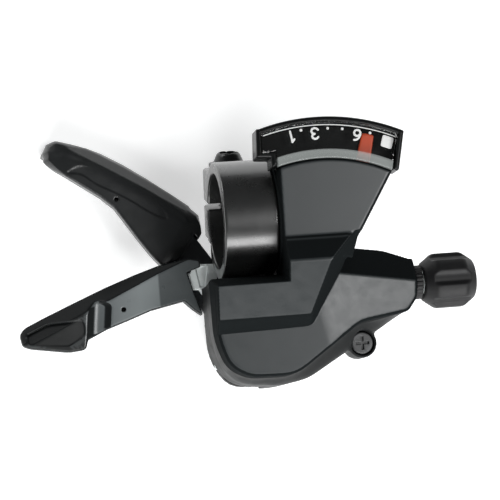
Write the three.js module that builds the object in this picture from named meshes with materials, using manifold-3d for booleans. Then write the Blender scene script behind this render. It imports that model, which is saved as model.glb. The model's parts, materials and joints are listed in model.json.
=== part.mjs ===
// Thumb shifter: right-hand rear trigger shifter with a gear display, for a 22.2 mm handlebar.
// Millimetres. The origin is on the handlebar axis, in the middle of the clamp band's width.
// +X runs along the bar towards the cable exit, +Y towards the rider, +Z out of the cover's face.
import * as THREE from 'three';
import { mergeVertices } from 'three/addons/utils/BufferGeometryUtils.js';
import Module from 'manifold-3d';

const wasm = await Module();
wasm.setup();

// ---- driving dimensions ----
const FIT = 0.3; // gap between neighbouring pieces
const WALL = 1.6; // plastic shell thickness
const BAR_R = 11.1; // 22.2 mm handlebar
const BAND_R = 13.8;
const BAND_HALF = 6.25; // half the clamp band's width

// clamp bolt: its line lies across the bar, tilted from +Y towards +Z
const BOLT_TILT = THREE.MathUtils.degToRad(17);
const BOLT_OFFSET = 16; // from the bar axis to the bolt axis
const SPLIT = [1.0, 2.4]; // the band's slit, along the bolt
const LUG_ENDS = [-7.0, 10.2];
const LUG_DEPTH = 20.3; // outer face of the lugs from the bar axis
const LUG_BORE = 2.7;
const NUT_HALF = 3.6; // half the square nut's width
const NUT_SPAN = [-6.7, -3.7]; // the nut's place along the bolt
const BAND_SCREW = [-1, -18.4]; // holds the band's foot to the housing's floor

// winding mechanism, stacked along the main axle
const AXLE = new THREE.Vector2(6, -25.8);
const AXLE_R = 2.5;
const CLICK = 20; // degrees of pulley turn for one gear
const CABLE_Y = -17.8;
const CABLE_Z = 1.5;
const GROOVE_R = Math.abs(CABLE_Y - AXLE.y);
const FLANGE_R = GROOVE_R + 0.8;
const PULLEY_Z = [-1, 4];
const CAM_Z = [4.3, 5.4];
const CAM_R = 8.9;
const RATCHET_Z = [-16.6, -15.1];
const RATCHET_TIP = 9.2;
const RATCHET_ROOT = 7.7;
const PAWL_R = RATCHET_TIP + 0.35; // where the pawl noses rest
const PIN_BORE = 1.3; // hole of a pawl about its pin

// levels of the fixed body
const SEAM_Z = 4.7; // housing's upper rim
const LEDGE_Z = 0.5; // the wide lower tier of the housing ends here
const FLOOR_Z = [-10.8, -9.2];
const SKIRT_Z = -18.7;
const BASE_PLATE_Z = [-20.5, -19.0];
const BOTTOM_Z = [-24.5, -20.8];

// levers
const MAIN_PLATE_Z = [-18.6, -17.0];
const MAIN_WEB_Z = [-19.8, -15.9];
const MAIN_PAD_Z = -26;
const RELEASE_PLATE_Z = [-14.0, -12.5];
const RELEASE_COVER_Z = [-15.6, -11.6];
const RELEASE_PIVOT = new THREE.Vector2(-4.2, -18);
const HOLD_PIVOT = new THREE.Vector2(1.0, -36.5);
const HOLD_FOLLOWER = new THREE.Vector2(-4.5, -29);

// gear display: marks lie on an arc about the needle's pivot
const NEEDLE_PIVOT = new THREE.Vector2(16.5, -26.5);
const REST_GEAR = 7;
const GEAR_STEP = 4.2; // degrees between two marks
const GEAR_1_ANGLE = -9.2; // clockwise from +Y
const FAN_R = 37.2;
const DISPLAY_R = 46.8;
const NEEDLE_Z = [13.2, 13.8];
const NEEDLE_LOW_Z = [6.9, 7.5];
const TRAY_Z = [11.45, 12.0];
const DISPLAY_TOP_Z = 18.2;
const DIAL_TOP_Z = 12.9;
const LENS_Z = [16.2, 17.9];

// ---- solids ----
const Y_AXIS = new THREE.Vector3(0, 1, 0);
const Z_AXIS = new THREE.Vector3(0, 0, 1);
const X_AXIS = new THREE.Vector3(1, 0, 0);
const AXES_FOR_X = new THREE.Matrix4().makeBasis(Y_AXIS, Z_AXIS, X_AXIS);

function solid(geometry) {
  geometry.deleteAttribute('normal');
  geometry.deleteAttribute('uv');
  const merged = mergeVertices(geometry, 1e-4);
  const vertProperties = new Float32Array(merged.attributes.position.array);
  const triVerts = new Uint32Array(merged.index.array);
  const body = new wasm.Manifold(new wasm.Mesh({ numProp: 3, vertProperties, triVerts }));
  if (body.volume() > 0) return body;
  for (let i = 0; i < triVerts.length; i += 3) {
    [triVerts[i], triVerts[i + 1]] = [triVerts[i + 1], triVerts[i]];
  }
  return new wasm.Manifold(new wasm.Mesh({ numProp: 3, vertProperties, triVerts }));
}

function toGeometry(body) {
  const mesh = body.getMesh();
  const geometry = new THREE.BufferGeometry();
  geometry.setAttribute('position', new THREE.BufferAttribute(mesh.vertProperties, 3));
  geometry.setIndex(new THREE.BufferAttribute(mesh.triVerts, 1));
  geometry.computeVertexNormals();
  return geometry;
}

const join = (...bodies) => bodies.reduce((all, body) => all.add(body));
const cut = (body, ...tools) => tools.reduce((rest, tool) => rest.subtract(tool), body);

// A closed outline from [x, y, corner radius] points.
function outline(points) {
  const shape = new THREE.Shape();
  points.forEach(([x, y, radius = 0], i) => {
    const corner = new THREE.Vector2(x, y);
    const before = new THREE.Vector2(...points.at(i - 1).slice(0, 2));
    const after = new THREE.Vector2(...points[(i + 1) % points.length].slice(0, 2));
    const round = Math.min(radius, 0.45 * corner.distanceTo(before), 0.45 * corner.distanceTo(after));
    const start = corner.clone().add(before.sub(corner).setLength(round));
    const end = corner.clone().add(after.sub(corner).setLength(round));
    if (i === 0) shape.moveTo(start.x, start.y);
    else shape.lineTo(start.x, start.y);
    if (round > 0) shape.quadraticCurveTo(x, y, end.x, end.y);
  });
  shape.closePath();
  return shape;
}

// The same corners moved inwards by a distance; the points run anticlockwise.
function inset(points, distance) {
  return points.map(([x, y, radius = 0], i) => {
    const corner = new THREE.Vector2(x, y);
    const before = new THREE.Vector2(...points.at(i - 1).slice(0, 2));
    const after = new THREE.Vector2(...points[(i + 1) % points.length].slice(0, 2));
    const along = corner.clone().sub(before).normalize();
    const onward = after.sub(corner).normalize();
    const normals = new THREE.Vector2(-along.y - onward.y, along.x + onward.x);
    const reach = distance / (0.5 * normals.lengthSq());
    return [x + normals.x * reach, y + normals.y * reach, Math.max(0, radius - distance)];
  });
}

function circle(x, y, radius) {
  const shape = new THREE.Shape();
  shape.absarc(x, y, radius, 0, 2 * Math.PI);
  return shape;
}

function prism(shape, [low, high], curveSegments = 3) {
  const options = { depth: high - low, bevelEnabled: false, curveSegments };
  return solid(new THREE.ExtrudeGeometry(shape, options).translate(0, 0, low));
}

// An outline in (y, z), extruded along X.
function prismX(shape, [low, high], curveSegments = 3) {
  const options = { depth: high - low, bevelEnabled: false, curveSegments };
  const geometry = new THREE.ExtrudeGeometry(shape, options).translate(0, 0, low);
  return solid(geometry.applyMatrix4(AXES_FOR_X));
}

function box([x0, x1], [y0, y1], [z0, z1]) {
  const geometry = new THREE.BoxGeometry(x1 - x0, y1 - y0, z1 - z0);
  return solid(geometry.translate((x0 + x1) / 2, (y0 + y1) / 2, (z0 + z1) / 2));
}

function rod(from, to, radius, sides = 16, endRadius = radius) {
  const start = new THREE.Vector3(...from);
  const axis = new THREE.Vector3(...to).sub(start);
  const geometry = new THREE.CylinderGeometry(endRadius, radius, axis.length(), sides);
  geometry.translate(0, axis.length() / 2, 0);
  geometry.applyQuaternion(new THREE.Quaternion().setFromUnitVectors(Y_AXIS, axis.normalize()));
  return solid(geometry.translate(...start.toArray()));
}

const post = (x, y, radius, [low, high], sides = 16) => rod([x, y, low], [x, y, high], radius, sides);
const rodX = (radius, [x0, x1], sides = 24) => rod([x0, 0, 0], [x1, 0, 0], radius, sides);
const tube = (x, y, [inner, outer], span, sides = 16) =>
  cut(post(x, y, outer, span, sides), post(x, y, inner, [span[0] - 1, span[1] + 1], sides));

// A profile of [radius, z] points turned about a vertical line.
function turned(x, y, profile, sides = 24) {
  const points = profile.map(([r, z]) => new THREE.Vector2(r, z));
  const geometry = new THREE.LatheGeometry(points, sides).rotateX(Math.PI / 2);
  return solid(geometry.translate(x, y, 0));
}

// Everything on the side of a plane that its normal points to.
function halfSpace(point, normal) {
  const SIZE = 200;
  const geometry = new THREE.BoxGeometry(SIZE, SIZE, SIZE).translate(0, 0, SIZE / 2);
  const turn = new THREE.Quaternion();
  turn.setFromUnitVectors(Z_AXIS, new THREE.Vector3(...normal).normalize());
  return solid(geometry.applyQuaternion(turn).translate(...point));
}

// The space above a slope that runs through two (y, z) points and is level along X.
function above([y0, z0], [y1, z1], drop = 0) {
  const normal = [0, z0 - z1, y1 - y0];
  return halfSpace([0, y0, z0 - drop], normal[2] < 0 ? normal.map((n) => -n) : normal);
}

function spring(points, wire, steps) {
  const path = new THREE.CatmullRomCurve3(points.map((point) => new THREE.Vector3(...point)));
  const options = { steps, extrudePath: path, bevelEnabled: false, curveSegments: 3 };
  return solid(new THREE.ExtrudeGeometry(circle(0, 0, wire), options));
}

function coil(center, radius, [low, high], turns, wire, start = 0) {
  const perTurn = 10;
  const points = [];
  for (let i = 0; i <= turns * perTurn; i += 1) {
    const angle = start + (2 * Math.PI * i) / perTurn;
    const z = low + ((high - low) * i) / (turns * perTurn);
    points.push([center.x + radius * Math.cos(angle), center.y + radius * Math.sin(angle), z]);
  }
  return spring(points, wire, Math.round(turns * perTurn));
}

// A point at a radius and an anticlockwise angle in degrees from +X about a centre.
function polar(center, radius, degrees) {
  const angle = THREE.MathUtils.degToRad(degrees);
  return new THREE.Vector2(center.x + radius * Math.cos(angle), center.y + radius * Math.sin(angle));
}

// A point of the display: clockwise degrees from +Y about the needle's pivot.
const dialPoint = (radius, clockwise) => polar(NEEDLE_PIVOT, radius, 90 - clockwise);

// Points of an arc about the needle's pivot between two x positions.
function dialArc(radius, x0, x1, count) {
  return Array.from({ length: count + 1 }, (_, i) => {
    const x = x0 + ((x1 - x0) * i) / count;
    return [x, NEEDLE_PIVOT.y + Math.sqrt(radius ** 2 - (x - NEEDLE_PIVOT.x) ** 2)];
  });
}

// ---- materials and the group ----
const shifter = new THREE.Group();
const BLACK_PLASTIC = [0x17191a, 0.55, 0.0];
const GREY_PLASTIC = [0x474d4f, 0.5, 0.1];
const KNOB_PLASTIC = [0x141516, 0.6, 0.0];
const LEVER_PLASTIC = [0x1f2223, 0.4, 0.0];
const LEVER_GREY = [0x4a4f51, 0.45, 0.1];
const BAND_BLACK = [0x0f1010, 0.3, 0.6];
const STEEL = [0x9aa3a6, 0.3, 1.0];
const DARK_STEEL = [0x3a3d3f, 0.4, 1.0];
const SPRING_STEEL = [0x7c8082, 0.35, 1.0];
const WHITE_PLASTIC = [0xd8dcd6, 0.5, 0.0];
const LENS = [0x969f9a, 0.1, 0.0];
const RED = [0xe0401c, 0.45, 0.0];

function add(name, body, [color, roughness, metalness]) {
  const material = new THREE.MeshStandardMaterial({ color, roughness, metalness });
  const mesh = new THREE.Mesh(toGeometry(body), material);
  mesh.name = name;
  shifter.add(mesh);
}

// ---- outlines ----
const COVER_OUTLINE = [
  [-9.8, -14.2, 0.6], [-9.8, -28, 4], [-7.5, -34.5, 3.2], [-3, -37.3, 3], [7.8, -37.6, 3.2],
  [17.3, -31.1], [23.9, -26.7, 1.8], [35.8, -24.9, 1], [38.2, -21.8, 0.8], [39, -12.4, 0.6],
  [31, -9.6, 1], [25, -6.8, 0.5], [6.7, -6.8], [6.7, -14.2],
];
const HOUSING_TOP = [
  ...COVER_OUTLINE.slice(0, 10), [30, -11.8],
  [22, -11.8], [6.7, -11.8], [6.7, -14.2],
];
const HOUSING_LOW = [
  [-9.8, -14.2, 0.6], [-9.8, -28.4, 4], [-7.5, -35, 3.4], [-3, -38.4, 3], [6, -39.4, 3], [12.7, -38.2, 2],
  [29.5, -28.7, 2], [36.9, -24.3, 1], [38.7, -21.6, 0.8], [39, -12.4, 0.6], [22, -11.8],
  [6.7, -11.8], [6.7, -14.2],
];
const PANEL_OUTLINE = [
  [-9.8, -14.2, 0.6], [-9.8, -27.2], [11.9, -26.6, 1.5], [20.6, -13.2], [23.4, -6.8], [6.7, -6.8],
  [6.7, -14.2],
];
const FAN_OUTLINE = [
  [5.9, -8], [22.6, -12], [24.1, -7.4],
  ...dialArc(FAN_R, 32.9, 5.9, 10),
];
const DISPLAY_OUTLINE = [
  [1.5, 11.6, 0.5], [4.8, 11.4],
  ...dialArc(FAN_R + FIT, 4.8, 33.9, 10),
  [34.3, 7], [36.3, 15.9, 0.8],
  ...dialArc(DISPLAY_R, 35.7, 2.6, 10), [1.9, 18.2, 0.5],
];

// slopes of the cover's top as (y, z) points
const FAN_SLOPE = [[-6.4, 15.6], [13.5, 18.0]];
const RAMP_SLOPE = [[-12.4, 18.6], [-6.4, 15.6]];
const PANEL_SLOPE = [[-24.6, 15.0], [-12.4, 18.6]];
const STEP_SLOPE = [[-27.2, 11.9], [-24.6, 15.0]];
const LOWER_SLOPE = [[-37.5, 10.5], [-27.2, 11.9]];
const NOTCH_SLOPE = [[-14.2, 7.5], [-16.7, 17.4]]; // the cover leans back from the clamp band
const NOTCH_WALL = (WALL * 9.9) / 2.5; // upright drop that leaves a wall behind the notch

const barPassage = rodX(BAR_R + FIT, [-60, 60], 32);
const bandPassage = rodX(BAND_R + FIT, [-BAND_HALF - 0.4, BAND_HALF + 0.4], 32);

// ---- clamp ----
const ALONG = new THREE.Vector2(Math.cos(BOLT_TILT), Math.sin(BOLT_TILT));
const OUTWARD = new THREE.Vector2(Math.sin(BOLT_TILT), -Math.cos(BOLT_TILT));
const onBolt = (s, n) => [s * ALONG.x + n * OUTWARD.x, s * ALONG.y + n * OUTWARD.y];
const boltPoint = (s) => [0, ...onBolt(s, BOLT_OFFSET)];

function boltBlock([s0, s1], [n0, n1], span, radius = 0) {
  const corners = [onBolt(s0, n0), onBolt(s0, n1), onBolt(s1, n1), onBolt(s1, n0)];
  return prismX(outline(corners.map((corner) => [...corner, radius])), span, 3);
}

function clampBand() {
  const span = [-BAND_HALF, BAND_HALF];
  const lugs = boltBlock(LUG_ENDS, [9, LUG_DEPTH], span, 2);
  const foot = box([-5, 3], [-20, -10.6], [-8.9, -6.4]);
  const room = NUT_HALF + FIT;
  const nutPocket = [BOLT_OFFSET - room, BOLT_OFFSET + room];
  const body = join(rodX(BAND_R, span, 48), lugs, foot);
  return cut(
    body,
    rodX(BAR_R, [-20, 20], 48),
    boltBlock(SPLIT, [5, 30], [-20, 20]),
    rod(boltPoint(-20), boltPoint(20), LUG_BORE),
    boltBlock([LUG_ENDS[0] - 1, NUT_SPAN[1] + FIT], nutPocket, [-room, room]),
    post(...BAND_SCREW, 1.6, [-10, -5]),
  );
}

function clampBolt() {
  const top = LUG_ENDS[1] + FIT;
  const head = rod(boltPoint(top), boltPoint(top + 3.6), 4.2, 24, 2.9);
  const flange = rod(boltPoint(top), boltPoint(top + 0.8), 4.8, 24);
  const shank = rod(boltPoint(-6.4), boltPoint(top + 1), 2.4);
  const socket = rod(boltPoint(top + 1.4), boltPoint(top + 6), 2.2, 6);
  return cut(join(head, flange, shank), socket);
}

function clampNut() {
  const block = boltBlock(NUT_SPAN, [BOLT_OFFSET - NUT_HALF, BOLT_OFFSET + NUT_HALF], [-NUT_HALF, NUT_HALF]);
  return cut(block, rod(boltPoint(-10), boltPoint(0), LUG_BORE));
}

// ---- housing and covers ----
const COVER_SCREWS = [[21.4, -24.6], [-7, -23.5], [-3.6, -34.4]];
const BASE_SCREWS = [[20.5, -17.2], [15.6, -33.6]];
const PLUG = [26.4, -30.9];
const CHAMBER_END = 24; // right of this the housing is solid round the cable exit
const ADJUSTER_BORE = 3.2;

function baseHousing() {
  const low = prism(outline(HOUSING_LOW), [SKIRT_Z, LEDGE_Z]);
  const top = prism(outline(HOUSING_TOP), [LEDGE_Z - 0.5, SEAM_Z]);
  const plugBoss = post(...PLUG, 3.4, [-8, -1.2]);
  const right = box([CHAMBER_END, 60], [-60, 0], [-30, 30]);
  const chamber = cut(prism(outline(inset(HOUSING_TOP, WALL)), [FLOOR_Z[1], SEAM_Z + 1]), right);
  const under = cut(prism(outline(inset(HOUSING_LOW, WALL)), [SKIRT_Z - 1, FLOOR_Z[0]]), right);
  const leverSweep = join(
    box([-15, 3.6], [-45, -5], [SKIRT_Z - 1, FLOOR_Z[0]]),
    box([3.6, 9], [-33, -5], [SKIRT_Z - 1, FLOOR_Z[0]]),
  );
  const footRoom = box([-5.3, 3.3], [-17, -12], [FLOOR_Z[1], -6.1]);
  const underCableExit = halfSpace([CHAMBER_END, 0, -12.5], [7, 0, -14.6]);
  let body = cut(
    join(low, top, plugBoss),
    chamber,
    under,
    leverSweep,
    footRoom,
    underCableExit,
    post(AXLE.x, AXLE.y, 5.2, [-12, -8], 20),
    rod([20, CABLE_Y, CABLE_Z], [50, CABLE_Y, CABLE_Z], ADJUSTER_BORE),
    post(...PLUG, 2.9, [-2.8, 5]),
    post(...PLUG, 1.9, [-6.6, 0]),
    bandPassage,
  );
  COVER_SCREWS.forEach(([x, y]) => {
    body = body.add(post(x, y, 2.2, [FLOOR_Z[1] - 0.5, SEAM_Z], 12));
    body = body.subtract(post(x, y, 1.5, [-12, 6], 12));
  });
  BASE_SCREWS.forEach(([x, y]) => {
    body = body.add(post(x, y, 2.7, [SKIRT_Z, FLOOR_Z[0] + 0.5], 12));
    body = body.subtract(post(x, y, 1.5, [SKIRT_Z - 1, FLOOR_Z[0] - 0.8], 12));
  });
  body = body.subtract(post(...BAND_SCREW, 1.5, [-10.4, -9], 12));
  [RELEASE_PIVOT, HOLD_PIVOT].forEach(({ x, y }) => {
    body = body.subtract(post(x, y, 1.6, [-12, FLOOR_Z[1] - 0.5], 12));
  });
  return body;
}

// The cover's outer block, or the space inside it when drop is the wall's thickness.
function coverBlock(drop) {
  const low = drop ? SEAM_Z - 1 : SEAM_Z + FIT;
  const lower = cut(
    prism(outline(inset(COVER_OUTLINE, drop)), [low, 25]),
    above(...LOWER_SLOPE, drop),
    halfSpace([14, -25, 12.5 - drop], [0.17, -0.1, 1]),
    halfSpace([21, -15.5, 12.26 - 1.25 * drop], [0.281, 0.7, 1]),
  );
  const panel = cut(
    prism(outline(inset(PANEL_OUTLINE, drop)), [low, 25]),
    above(...PANEL_SLOPE, drop),
    above(...RAMP_SLOPE, drop),
    above(...STEP_SLOPE, drop),
  );
  return join(lower, panel);
}

function upperCover() {
  const fan = cut(prism(outline(FAN_OUTLINE), [TRAY_Z[1] + FIT, 25]), above(...FAN_SLOPE));
  const fanHollow = cut(
    prism(outline([
      [7.3, -17.6], [16.4, -17.6], [17.5, -16], [19.2, -13.2], [22.8, -7], [31.6, 7],
      ...dialArc(FAN_R + 1, 31.6, 7.3, 8),
    ]), [10, 25]),
    above(...FAN_SLOPE, 1.4),
  );
  const wallKept = join(
    rodX(BAR_R + FIT + WALL, [-60, 60], 32),
    rodX(BAND_R + FIT + WALL, [-BAND_HALF - 1.5, BAND_HALF + 1.5], 32),
    box([CHAMBER_END, 60], [-60, 20], [-30, 30]),
    above(...NOTCH_SLOPE, NOTCH_WALL).intersect(box([-20, 6.7 + WALL], [-60, 20], [-30, 30])),
  );
  const notch = above(...NOTCH_SLOPE).intersect(box([-20, 6.7], [-30, -6], [7.5, 30]));
  const hollow = cut(coverBlock(WALL), wallKept);
  const posts = COVER_SCREWS.map(([x, y]) => {
    return post(x, y, 2.2, [SEAM_Z + FIT, 12], 12).intersect(coverBlock(0));
  });
  const pivotBoss = post(NEEDLE_PIVOT.x, NEEDLE_PIVOT.y, 2, [9.2, 13], 12).intersect(coverBlock(0));
  const screwHoles = COVER_SCREWS.map(([x, y]) => post(x, y, 1.5, [0, 9], 12));
  const shell = cut(join(coverBlock(0), fan), hollow, fanHollow);
  return cut(
    join(shell, ...posts, pivotBoss),
    ...screwHoles,
    notch,
    post(NEEDLE_PIVOT.x, NEEDLE_PIVOT.y, 1.1, [5, 10.2], 12),
    barPassage,
    bandPassage,
  );
}

function bottomCover() {
  const points = [
    [-7.4, -18.5, 3], [-7.4, -30.5, 4], [-3, -38.3, 4], [12, -38.3, 4], [24.2, -29.8, 3], [23.6, -13.6, 2],
    [5, -13.6, 3],
  ];
  const shell = cut(
    prism(outline(points), BOTTOM_Z),
    prism(outline(inset(points, 1.3)), [BOTTOM_Z[0] + 1.3, BOTTOM_Z[1] + 1]),
  );
  const bosses = BASE_SCREWS.map(([x, y]) => post(x, y, 2.8, [BOTTOM_Z[0] + 0.6, BOTTOM_Z[1]], 12));
  const bores = BASE_SCREWS.map(([x, y]) => post(x, y, 1.6, [-30, -20], 12));
  const heads = BASE_SCREWS.map(([x, y]) => post(x, y, 2.5, [-30, BOTTOM_Z[0] + 1.5], 12));
  return cut(join(shell, ...bosses), ...bores, ...heads);
}

function basePlate() {
  const points = [
    [-7.6, -18.8, 3], [-7.6, -30, 4], [-3, -38, 4], [12, -38, 3], [24, -30, 2], [23.4, -13.8, 2],
    [5, -13.8, 3],
  ];
  const plate = prism(outline(points), BASE_PLATE_Z);
  const bores = BASE_SCREWS.map(([x, y]) => post(x, y, 1.6, [-22, -18], 12));
  return cut(plate, post(AXLE.x, AXLE.y, AXLE_R + FIT, [-22, -18]), ...bores);
}

// A screw on the vertical line through (x, y), with a cross slot in its head's outer face.
function screw(x, y, [low, high], [headLow, headHigh], headR, shankR = 1.2) {
  const shank = post(x, y, shankR, [low, high], 10);
  const head = post(x, y, headR, [headLow, headHigh], 16);
  const fromTop = headHigh >= high;
  const slotZ = fromTop ? [headHigh - 0.5, headHigh + 1] : [headLow - 1, headLow + 0.5];
  const slot = (a, b) => box([x - a, x + a], [y - b, y + b], slotZ);
  return cut(join(shank, head), slot(headR * 0.6, 0.3), slot(0.3, headR * 0.6));
}

// ---- axle and winder ----
function mainAxle() {
  return turned(AXLE.x, AXLE.y, [
    [0, -22.6], [4.5, -22.6], [4.5, -20.8], [AXLE_R, -20.8], [AXLE_R, 9.3], [AXLE_R - 0.3, 9.6], [0, 9.6],
  ], 20);
}

function cablePulley() {
  const bore = AXLE_R + FIT;
  const [low, high] = PULLEY_Z;
  const middle = (low + high) / 2;
  return turned(AXLE.x, AXLE.y, [
    [bore, -16.8], [3.9, -16.8], [3.9, -14.8], [4.6, -14.8], [4.6, low],
    [FLANGE_R, low], [FLANGE_R, low + 0.8], [GROOVE_R, middle - 0.6],
    [GROOVE_R, middle + 0.6], [FLANGE_R, high - 0.8], [FLANGE_R, high],
    [bore, high], [bore, -16.8],
  ], 32);
}

function ratchetWheel() {
  const teeth = 360 / CLICK;
  const points = [];
  for (let i = 0; i < teeth; i += 1) {
    const tip = polar(AXLE, RATCHET_TIP, i * CLICK);
    const root = polar(AXLE, RATCHET_ROOT, i * CLICK + 1.5);
    points.push([tip.x, tip.y], [root.x, root.y]);
  }
  const wheel = prism(outline(points), RATCHET_Z);
  return cut(wheel, post(AXLE.x, AXLE.y, 4.2, [-20, -10]));
}

// Where the needle's follower stands for a turn of the winder, in degrees.
const NEEDLE_RATIO = GEAR_STEP / CLICK;
const FOLLOWER_R = 5;
const FOLLOWER_REST = 194.5;
function followerInCam(turn) {
  const pin = polar(NEEDLE_PIVOT, FOLLOWER_R, FOLLOWER_REST + NEEDLE_RATIO * turn);
  return pin.rotateAround(AXLE, THREE.MathUtils.degToRad(-turn));
}

function indicatorCam() {
  const half = 0.9;
  const left = [];
  const right = [];
  for (let turn = -30; turn <= 130; turn += 8) {
    const here = followerInCam(turn);
    const side = followerInCam(turn + 1).sub(followerInCam(turn - 1)).setLength(half);
    left.push([here.x - side.y, here.y + side.x]);
    right.push([here.x + side.y, here.y - side.x]);
  }
  const disc = tube(AXLE.x, AXLE.y, [AXLE_R + FIT, CAM_R], CAM_Z, 32);
  return cut(disc, prism(outline([...left, ...right.reverse()]), [CAM_Z[0] - 1, CAM_Z[1] + 1]));
}

// ---- gear display ----
function indicatorTray() {
  const floor = prism(outline([
    [7, -5.6], [23.9, -5.6], [31.7, 7], [28, 11], [7, 11.4],
  ]), TRAY_Z);
  const frame = prism(outline(DISPLAY_OUTLINE), [TRAY_Z[0], DISPLAY_TOP_Z]);
  const opening = prism(outline([
    [2.7, 12.6], [5.9, 12.6], ...dialArc(FAN_R - 0.5, 6, 32.6, 10), [33.2, 7.6], [34.9, 15.2],
    ...dialArc(DISPLAY_R - 1.1, 34.5, 3.4, 10), [2.9, 17.2],
  ]), [TRAY_Z[1], 30]);
  return cut(join(cut(frame, opening), floor), barPassage);
}

const WINDOW_OUTLINE = [
  [3.0, 12.9], [6.2, 12.9], ...dialArc(FAN_R + 0.6, 6.3, 32.7, 10), [33.1, 8.9], [34.5, 14.9],
  ...dialArc(DISPLAY_R - 1.4, 34.1, 3.8, 10), [3.2, 17.0],
];

function indicatorNeedle() {
  const restAngle = GEAR_1_ANGLE + (REST_GEAR - 1) * GEAR_STEP;
  const knee = dialPoint(14, restAngle - 22.5);
  const follower = polar(NEEDLE_PIVOT, FOLLOWER_R, FOLLOWER_REST);
  const strip = (from, to, width, span, extra = 0) => {
    const along = to.clone().sub(from).normalize();
    const side = new THREE.Vector2(-along.y, along.x).multiplyScalar(width / 2);
    const tip = to.clone().addScaledVector(along, extra);
    const right = [from.clone().sub(side), tip.clone().sub(side)];
    const left = [tip.clone().add(side), from.clone().add(side)];
    return prism(outline([...right, ...left].map(({ x, y }) => [x, y])), span);
  };
  const alongArm = (t) => NEEDLE_PIVOT.clone().lerp(knee, t);
  const hub = tube(NEEDLE_PIVOT.x, NEEDLE_PIVOT.y, [1.1, 2.2], [NEEDLE_LOW_Z[0], 8.6]);
  const bore = post(NEEDLE_PIVOT.x, NEEDLE_PIVOT.y, 1.1, [0, 20]);
  const RISE = 5;
  let arm = strip(NEEDLE_PIVOT, alongArm(0.5), 1.5, NEEDLE_LOW_Z, 0.2);
  for (let i = 0; i < RISE; i += 1) {
    const low = THREE.MathUtils.lerp(NEEDLE_LOW_Z[0], NEEDLE_Z[0], (i + 0.2) / RISE);
    const t = 0.5 + (0.5 * i) / RISE;
    arm = arm.add(strip(alongArm(t), alongArm(t + 0.5 / RISE), 1.5, [low, low + 1.9], 0.3));
  }
  const reach = strip(knee, dialPoint(FAN_R, restAngle), 1.5, NEEDLE_Z, 0.5);
  const flag = prism(outline([
    [36.4, 1.0], [38.2, 2.5], [44.5, 1.8], [44.5, -1.8], [38.2, -2.6], [36.4, -1.0],
  ].map(([radius, swing]) => [...dialPoint(radius, restAngle + swing)])), NEEDLE_Z);
  const tail = strip(NEEDLE_PIVOT, follower, 1.6, NEEDLE_LOW_Z, 0.8);
  const pin = post(follower.x, follower.y, 0.6, [4.6, NEEDLE_LOW_Z[1]], 10);
  return cut(join(hub, arm, reach, flag, tail, pin), bore);
}

// ---- main (thumb) lever ----
const MAIN_UPPER = [
  [-44.3, 21.4], [-43.0, 23.6], [-40.6, 24.3], [-33.1, 22.7], [-29.6, 21.2], [-24.3, 18.1], [-19.0, 14.4],
  [-13.8, 10.4], [-9.4, 6.6], [-7.2, 4.2],
];
const MAIN_RIDGE = [[-42.5, 20.0], [-39.4, 20.6], [-34.7, 18.9], [-30.1, 16.6], [-25.1, 13.6],
  [-19.9, 10.4], [-15.4, 6.8], [-10.6, 2.4]];
const MAIN_LOWER = [[-20.1, -5.0], [-22.8, -1.1], [-26.0, 3.9], [-28.0, 6.9], [-31.1, 9.7],
  [-36.3, 13.4], [-41.6, 17.1]];

const FEED_PIVOT = polar(AXLE, 13.2, 112);

function mainLeverPlate() {
  const arm = prism(outline([
    [6, -18], [-4.4, -8.2], [-8.2, -2.4], [-14, 5.2, 2], [-23.5, 6.2, 2], [-19, -3.5], [-12.5, -15],
    [-1.6, -27.6],
  ]), MAIN_PLATE_Z);
  const hub = post(AXLE.x, AXLE.y, 8, MAIN_PLATE_Z, 24);
  return cut(
    join(arm, hub, post(FEED_PIVOT.x, FEED_PIVOT.y, 2.6, MAIN_PLATE_Z)),
    post(AXLE.x, AXLE.y, AXLE_R + FIT, [-20, -10]),
    post(FEED_PIVOT.x, FEED_PIVOT.y, PIN_BORE, [-20, -10], 12),
  );
}

function mainLeverCover() {
  const web = [
    ...MAIN_LOWER, [-44.4, 19.4, 0.6], ...MAIN_UPPER.slice(1), [-7.2, -0.6], [-10.5, -5.8], [-17.5, -8.2],
  ].reverse();
  const pad = [...MAIN_UPPER.slice(0, -1), ...MAIN_RIDGE.slice().reverse()].reverse();
  const pocket = [
    [-10.4, -9], [-7.8, -2.2], [-13.8, 5.6], [-23.9, 6.6], [-19.4, -3.6], [-16, -10],
  ];
  return cut(
    join(prism(outline(web), MAIN_WEB_Z), prism(outline(pad), [MAIN_PAD_Z, MAIN_WEB_Z[1]])),
    halfSpace([-34.7, 18.9, MAIN_WEB_Z[1]], [0.36, 0.58, 0.75]),
    prism(outline(pocket), [MAIN_PLATE_Z[0] - FIT, MAIN_PLATE_Z[1] + FIT]),
    post(-27.3, 8.9, 0.5, [-22, -15], 10),
  );
}

// A pawl: a disc about its pivot with an arm that narrows to the nose.
function pawl(pivot, nose, ...tails) {
  const along = nose.clone().sub(pivot).normalize();
  const side = new THREE.Vector2(-along.y, along.x);
  const corners = [
    pivot.clone().addScaledVector(side, 1.8),
    pivot.clone().addScaledVector(side, -1.8),
    nose.clone().addScaledVector(side, -0.5),
    nose.clone().addScaledVector(side, 0.5),
  ];
  const arm = prism(outline(corners.map(({ x, y }) => [x, y])), RATCHET_Z);
  const disc = post(pivot.x, pivot.y, 2.2, RATCHET_Z);
  return cut(join(arm, disc, ...tails), post(pivot.x, pivot.y, PIN_BORE, [-20, -10], 12));
}

const FEED_NOSE = polar(AXLE, PAWL_R + 0.5, 141);
const HOLD_NOSE = polar(AXLE, PAWL_R + 0.5, 215);

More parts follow.
